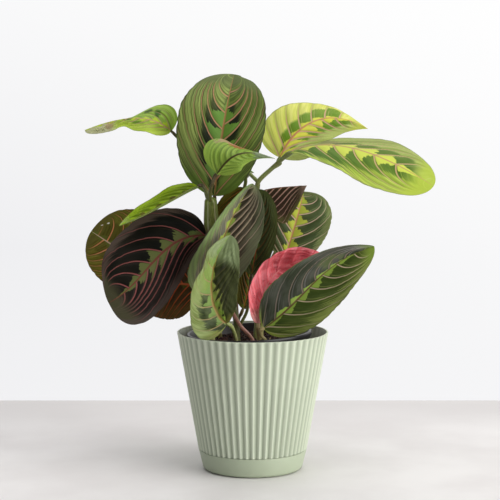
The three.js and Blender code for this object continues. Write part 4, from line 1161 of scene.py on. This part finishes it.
def sheath_material(name):
    """The broad leaf base round the stem: dark green, with pale lines along its front and its right side."""
    graph = Graph(name, "#56681f")
    height = graph.attribute("along")
    turn = graph.attribute("round")
    fibre = graph.noise((height * 2, turn * 1.6, 0), scale=3)
    graph.paint(fibre.step(0.35, 0.65), "#8c9c48")
    for at, breadth, tint in ((3.2, 0.35, "#b4c08c"), (5.6, 0.3, "#b8bc88"), (1.6, 0.4, "#7c5c38")):
        graph.paint(abs(turn - at).step(breadth, breadth / 3) * 0.75, tint)
    graph.paint(height.step(0.35, 0), "#5c4028")
    return graph.surface(0.5, fibre, strength=0.4, depth=0.6)


def stem(name, data):
    """The stalks of one plant stem, the first of which comes out of the soil, and its sheath."""
    foot = [(*data["root"], SOIL_LEVEL - ROOT_DEPTH), (*data["root"], SOIL_LEVEL + STEM_FOOT)]
    materials = [stem_material(name + "_skin", *data["colours"])]
    tubes = []
    for leaf, first_radius, last_radius, *path in data["branches"]:
        end = petiole_end(leaf) if leaf else []
        tubes.append(tube([*foot, *path, *end], first_radius, last_radius, bool(leaf)))
        foot = []
    if data["sheath"]:
        tubes.append(tube(data["sheath"], *SHEATH_RADII, False))
        materials.append(sheath_material(name + "_sheath"))
    faces, numbers, start = [], [], 0
    for number, (part, part_faces, _) in enumerate(tubes):
        faces += [tuple(corner + start for corner in face) for face in part_faces]
        numbers += [int(number == len(data["branches"]))] * len(part_faces)
        start += len(part)
    points = np.concatenate([part for part, _, _ in tubes])
    heights = np.concatenate([share for _, _, share in tubes])
    values = {"along": heights, "round": np.arange(len(points)) % STEM_SIDES}
    piece = add_piece(name, "stalks", points, faces, materials, SHARP_LEAF, values)
    piece.data.polygons.foreach_set("material_index", numbers)


# Plain materials


def sage_material(name, light, dark):
    graph = Graph(name, light)
    place = graph.place()
    graph.paint(graph.noise(place, scale=18) * 0.35, dark)
    # Painted shade: darker in the pleat valleys.
    graph.paint(graph.attribute("valley").step(0.1, 0.9) * 0.5, "#78866c")
    # Painted shade: the inner wall of the cover pot is darker.
    graph.paint(graph.attribute("inside_shade") * 0.6, "#4c5248")
    return graph.surface(0.5, graph.noise(place, scale=1400), strength=0.12, depth=0.3)


def black_material():
    graph = Graph("black_plastic", "#1b1a1d")
    dust = graph.noise(graph.place(), scale=90, detail=4)
    graph.paint(dust.step(0.5, 0.8), "#3a3634")
    return graph.surface(dust * 0.2 + 0.28, dust, strength=0.1, depth=0.4)


def earth_material():
    graph = Graph("potting_soil", "#1c1110")
    place = graph.place()
    coarse = graph.noise(place, scale=160, detail=3)
    fine = graph.noise(place, scale=700, detail=3)
    graph.paint(coarse.step(0.35, 0.65), "#4a2c24")
    graph.paint(fine.step(0.55, 0.8) * 0.5, "#7a5a44")
    return graph.surface(0.9, fine, strength=0.6, depth=1)


def table_material():
    graph = Graph("table_top", "#dcd8d7")
    cloud = graph.noise(graph.place(), scale=9, detail=4)
    graph.paint(cloud.step(0.3, 0.7), "#e7e4e3")
    # Painted shade: the table top is darker towards the back.
    graph.paint(graph.place("Y").step(0.1, 0.3) * 0.7, "#cfcbca")
    return graph.surface(0.6)


def wall_material():
    graph = Graph("wall_glow", "#e9e9ec")
    graph.paint((graph.place("Z") + graph.place("X") * 0.45).step(-0.9, 1), "#ffffff")
    return graph.output(graph.node("Emission", {"Color": graph.shade}))


# Stage, lights and camera


def stage_plane(name, near, far, material):
    """A wide plane between two edges, each given as its y and z."""
    side = 3000
    corners = [(-side, *near), (side, *near), (side, *far), (-side, *far)]
    add_mesh(name, corners, [(0, 1, 2, 3)], [material])


def build_stage():
    near, edge, wall, top = -3000, 321, 2200, 3500
    table_level, sweep_level = -0.4, -1
    glow = wall_material()
    stage_plane("table", (near, table_level), (edge, table_level), table_material())
    stage_plane("sweep", (edge, sweep_level), (wall, sweep_level), glow)
    stage_plane("wall", (wall, sweep_level), (wall, top), glow)


def set_up(thing, place, target):
    """Puts a lamp or the camera in its place and turns it to its target."""
    thing.location = Vector(place) * MM
    direction = Vector(target) * MM - thing.location
    thing.rotation_euler = direction.to_track_quat("-Z", "Y").to_euler()


def area_light(name, place, target, size, power, tint):
    light = bpy.data.lights.new(name, "AREA")
    light.shape = "DISK"
    light.size = size
    light.energy = power
    light.color = tint
    set_up(add_object(name, light), place, target)


def build_lights():
    area_light("key", (1900, -1150, 850), (0, 0, 150), 2.5, 58, (1.0, 0.985, 0.96))
    area_light("top", (0, 0, 2300), (0, 0, 0), 2.6, 36, (1.0, 1.0, 1.0))
    world = bpy.data.worlds.new("studio")
    world.use_nodes = True
    background = world.node_tree.nodes["Background"]
    background.inputs["Color"].default_value = (0.95, 0.97, 1.0, 1)
    background.inputs["Strength"].default_value = 0.15
    bpy.context.scene.world = world


def build_camera():
    data = bpy.data.cameras.new("camera")
    data.lens = CAMERA_LENS
    data.sensor_width = CAMERA_SENSOR
    data.clip_end = 20
    camera = add_object("camera", data)
    set_up(camera, CAMERA_PLACE, CAMERA_AIM)
    bpy.context.scene.camera = camera


bpy.context.scene.view_settings.view_transform = "Standard"
build_camera()
build_lights()
build_stage()
cover_pot()
base_tray()
nursery_pot()
soil()
for stem_name, stem_data in STEMS.items():
    stem(stem_name, stem_data)
for number, (leaf_name, leaf_data) in enumerate(LEAVES.items()):
    blade(leaf_name, {**leaf_data, "phase": number * PHASE_STEP}, LOOKS[leaf_data["look"]])
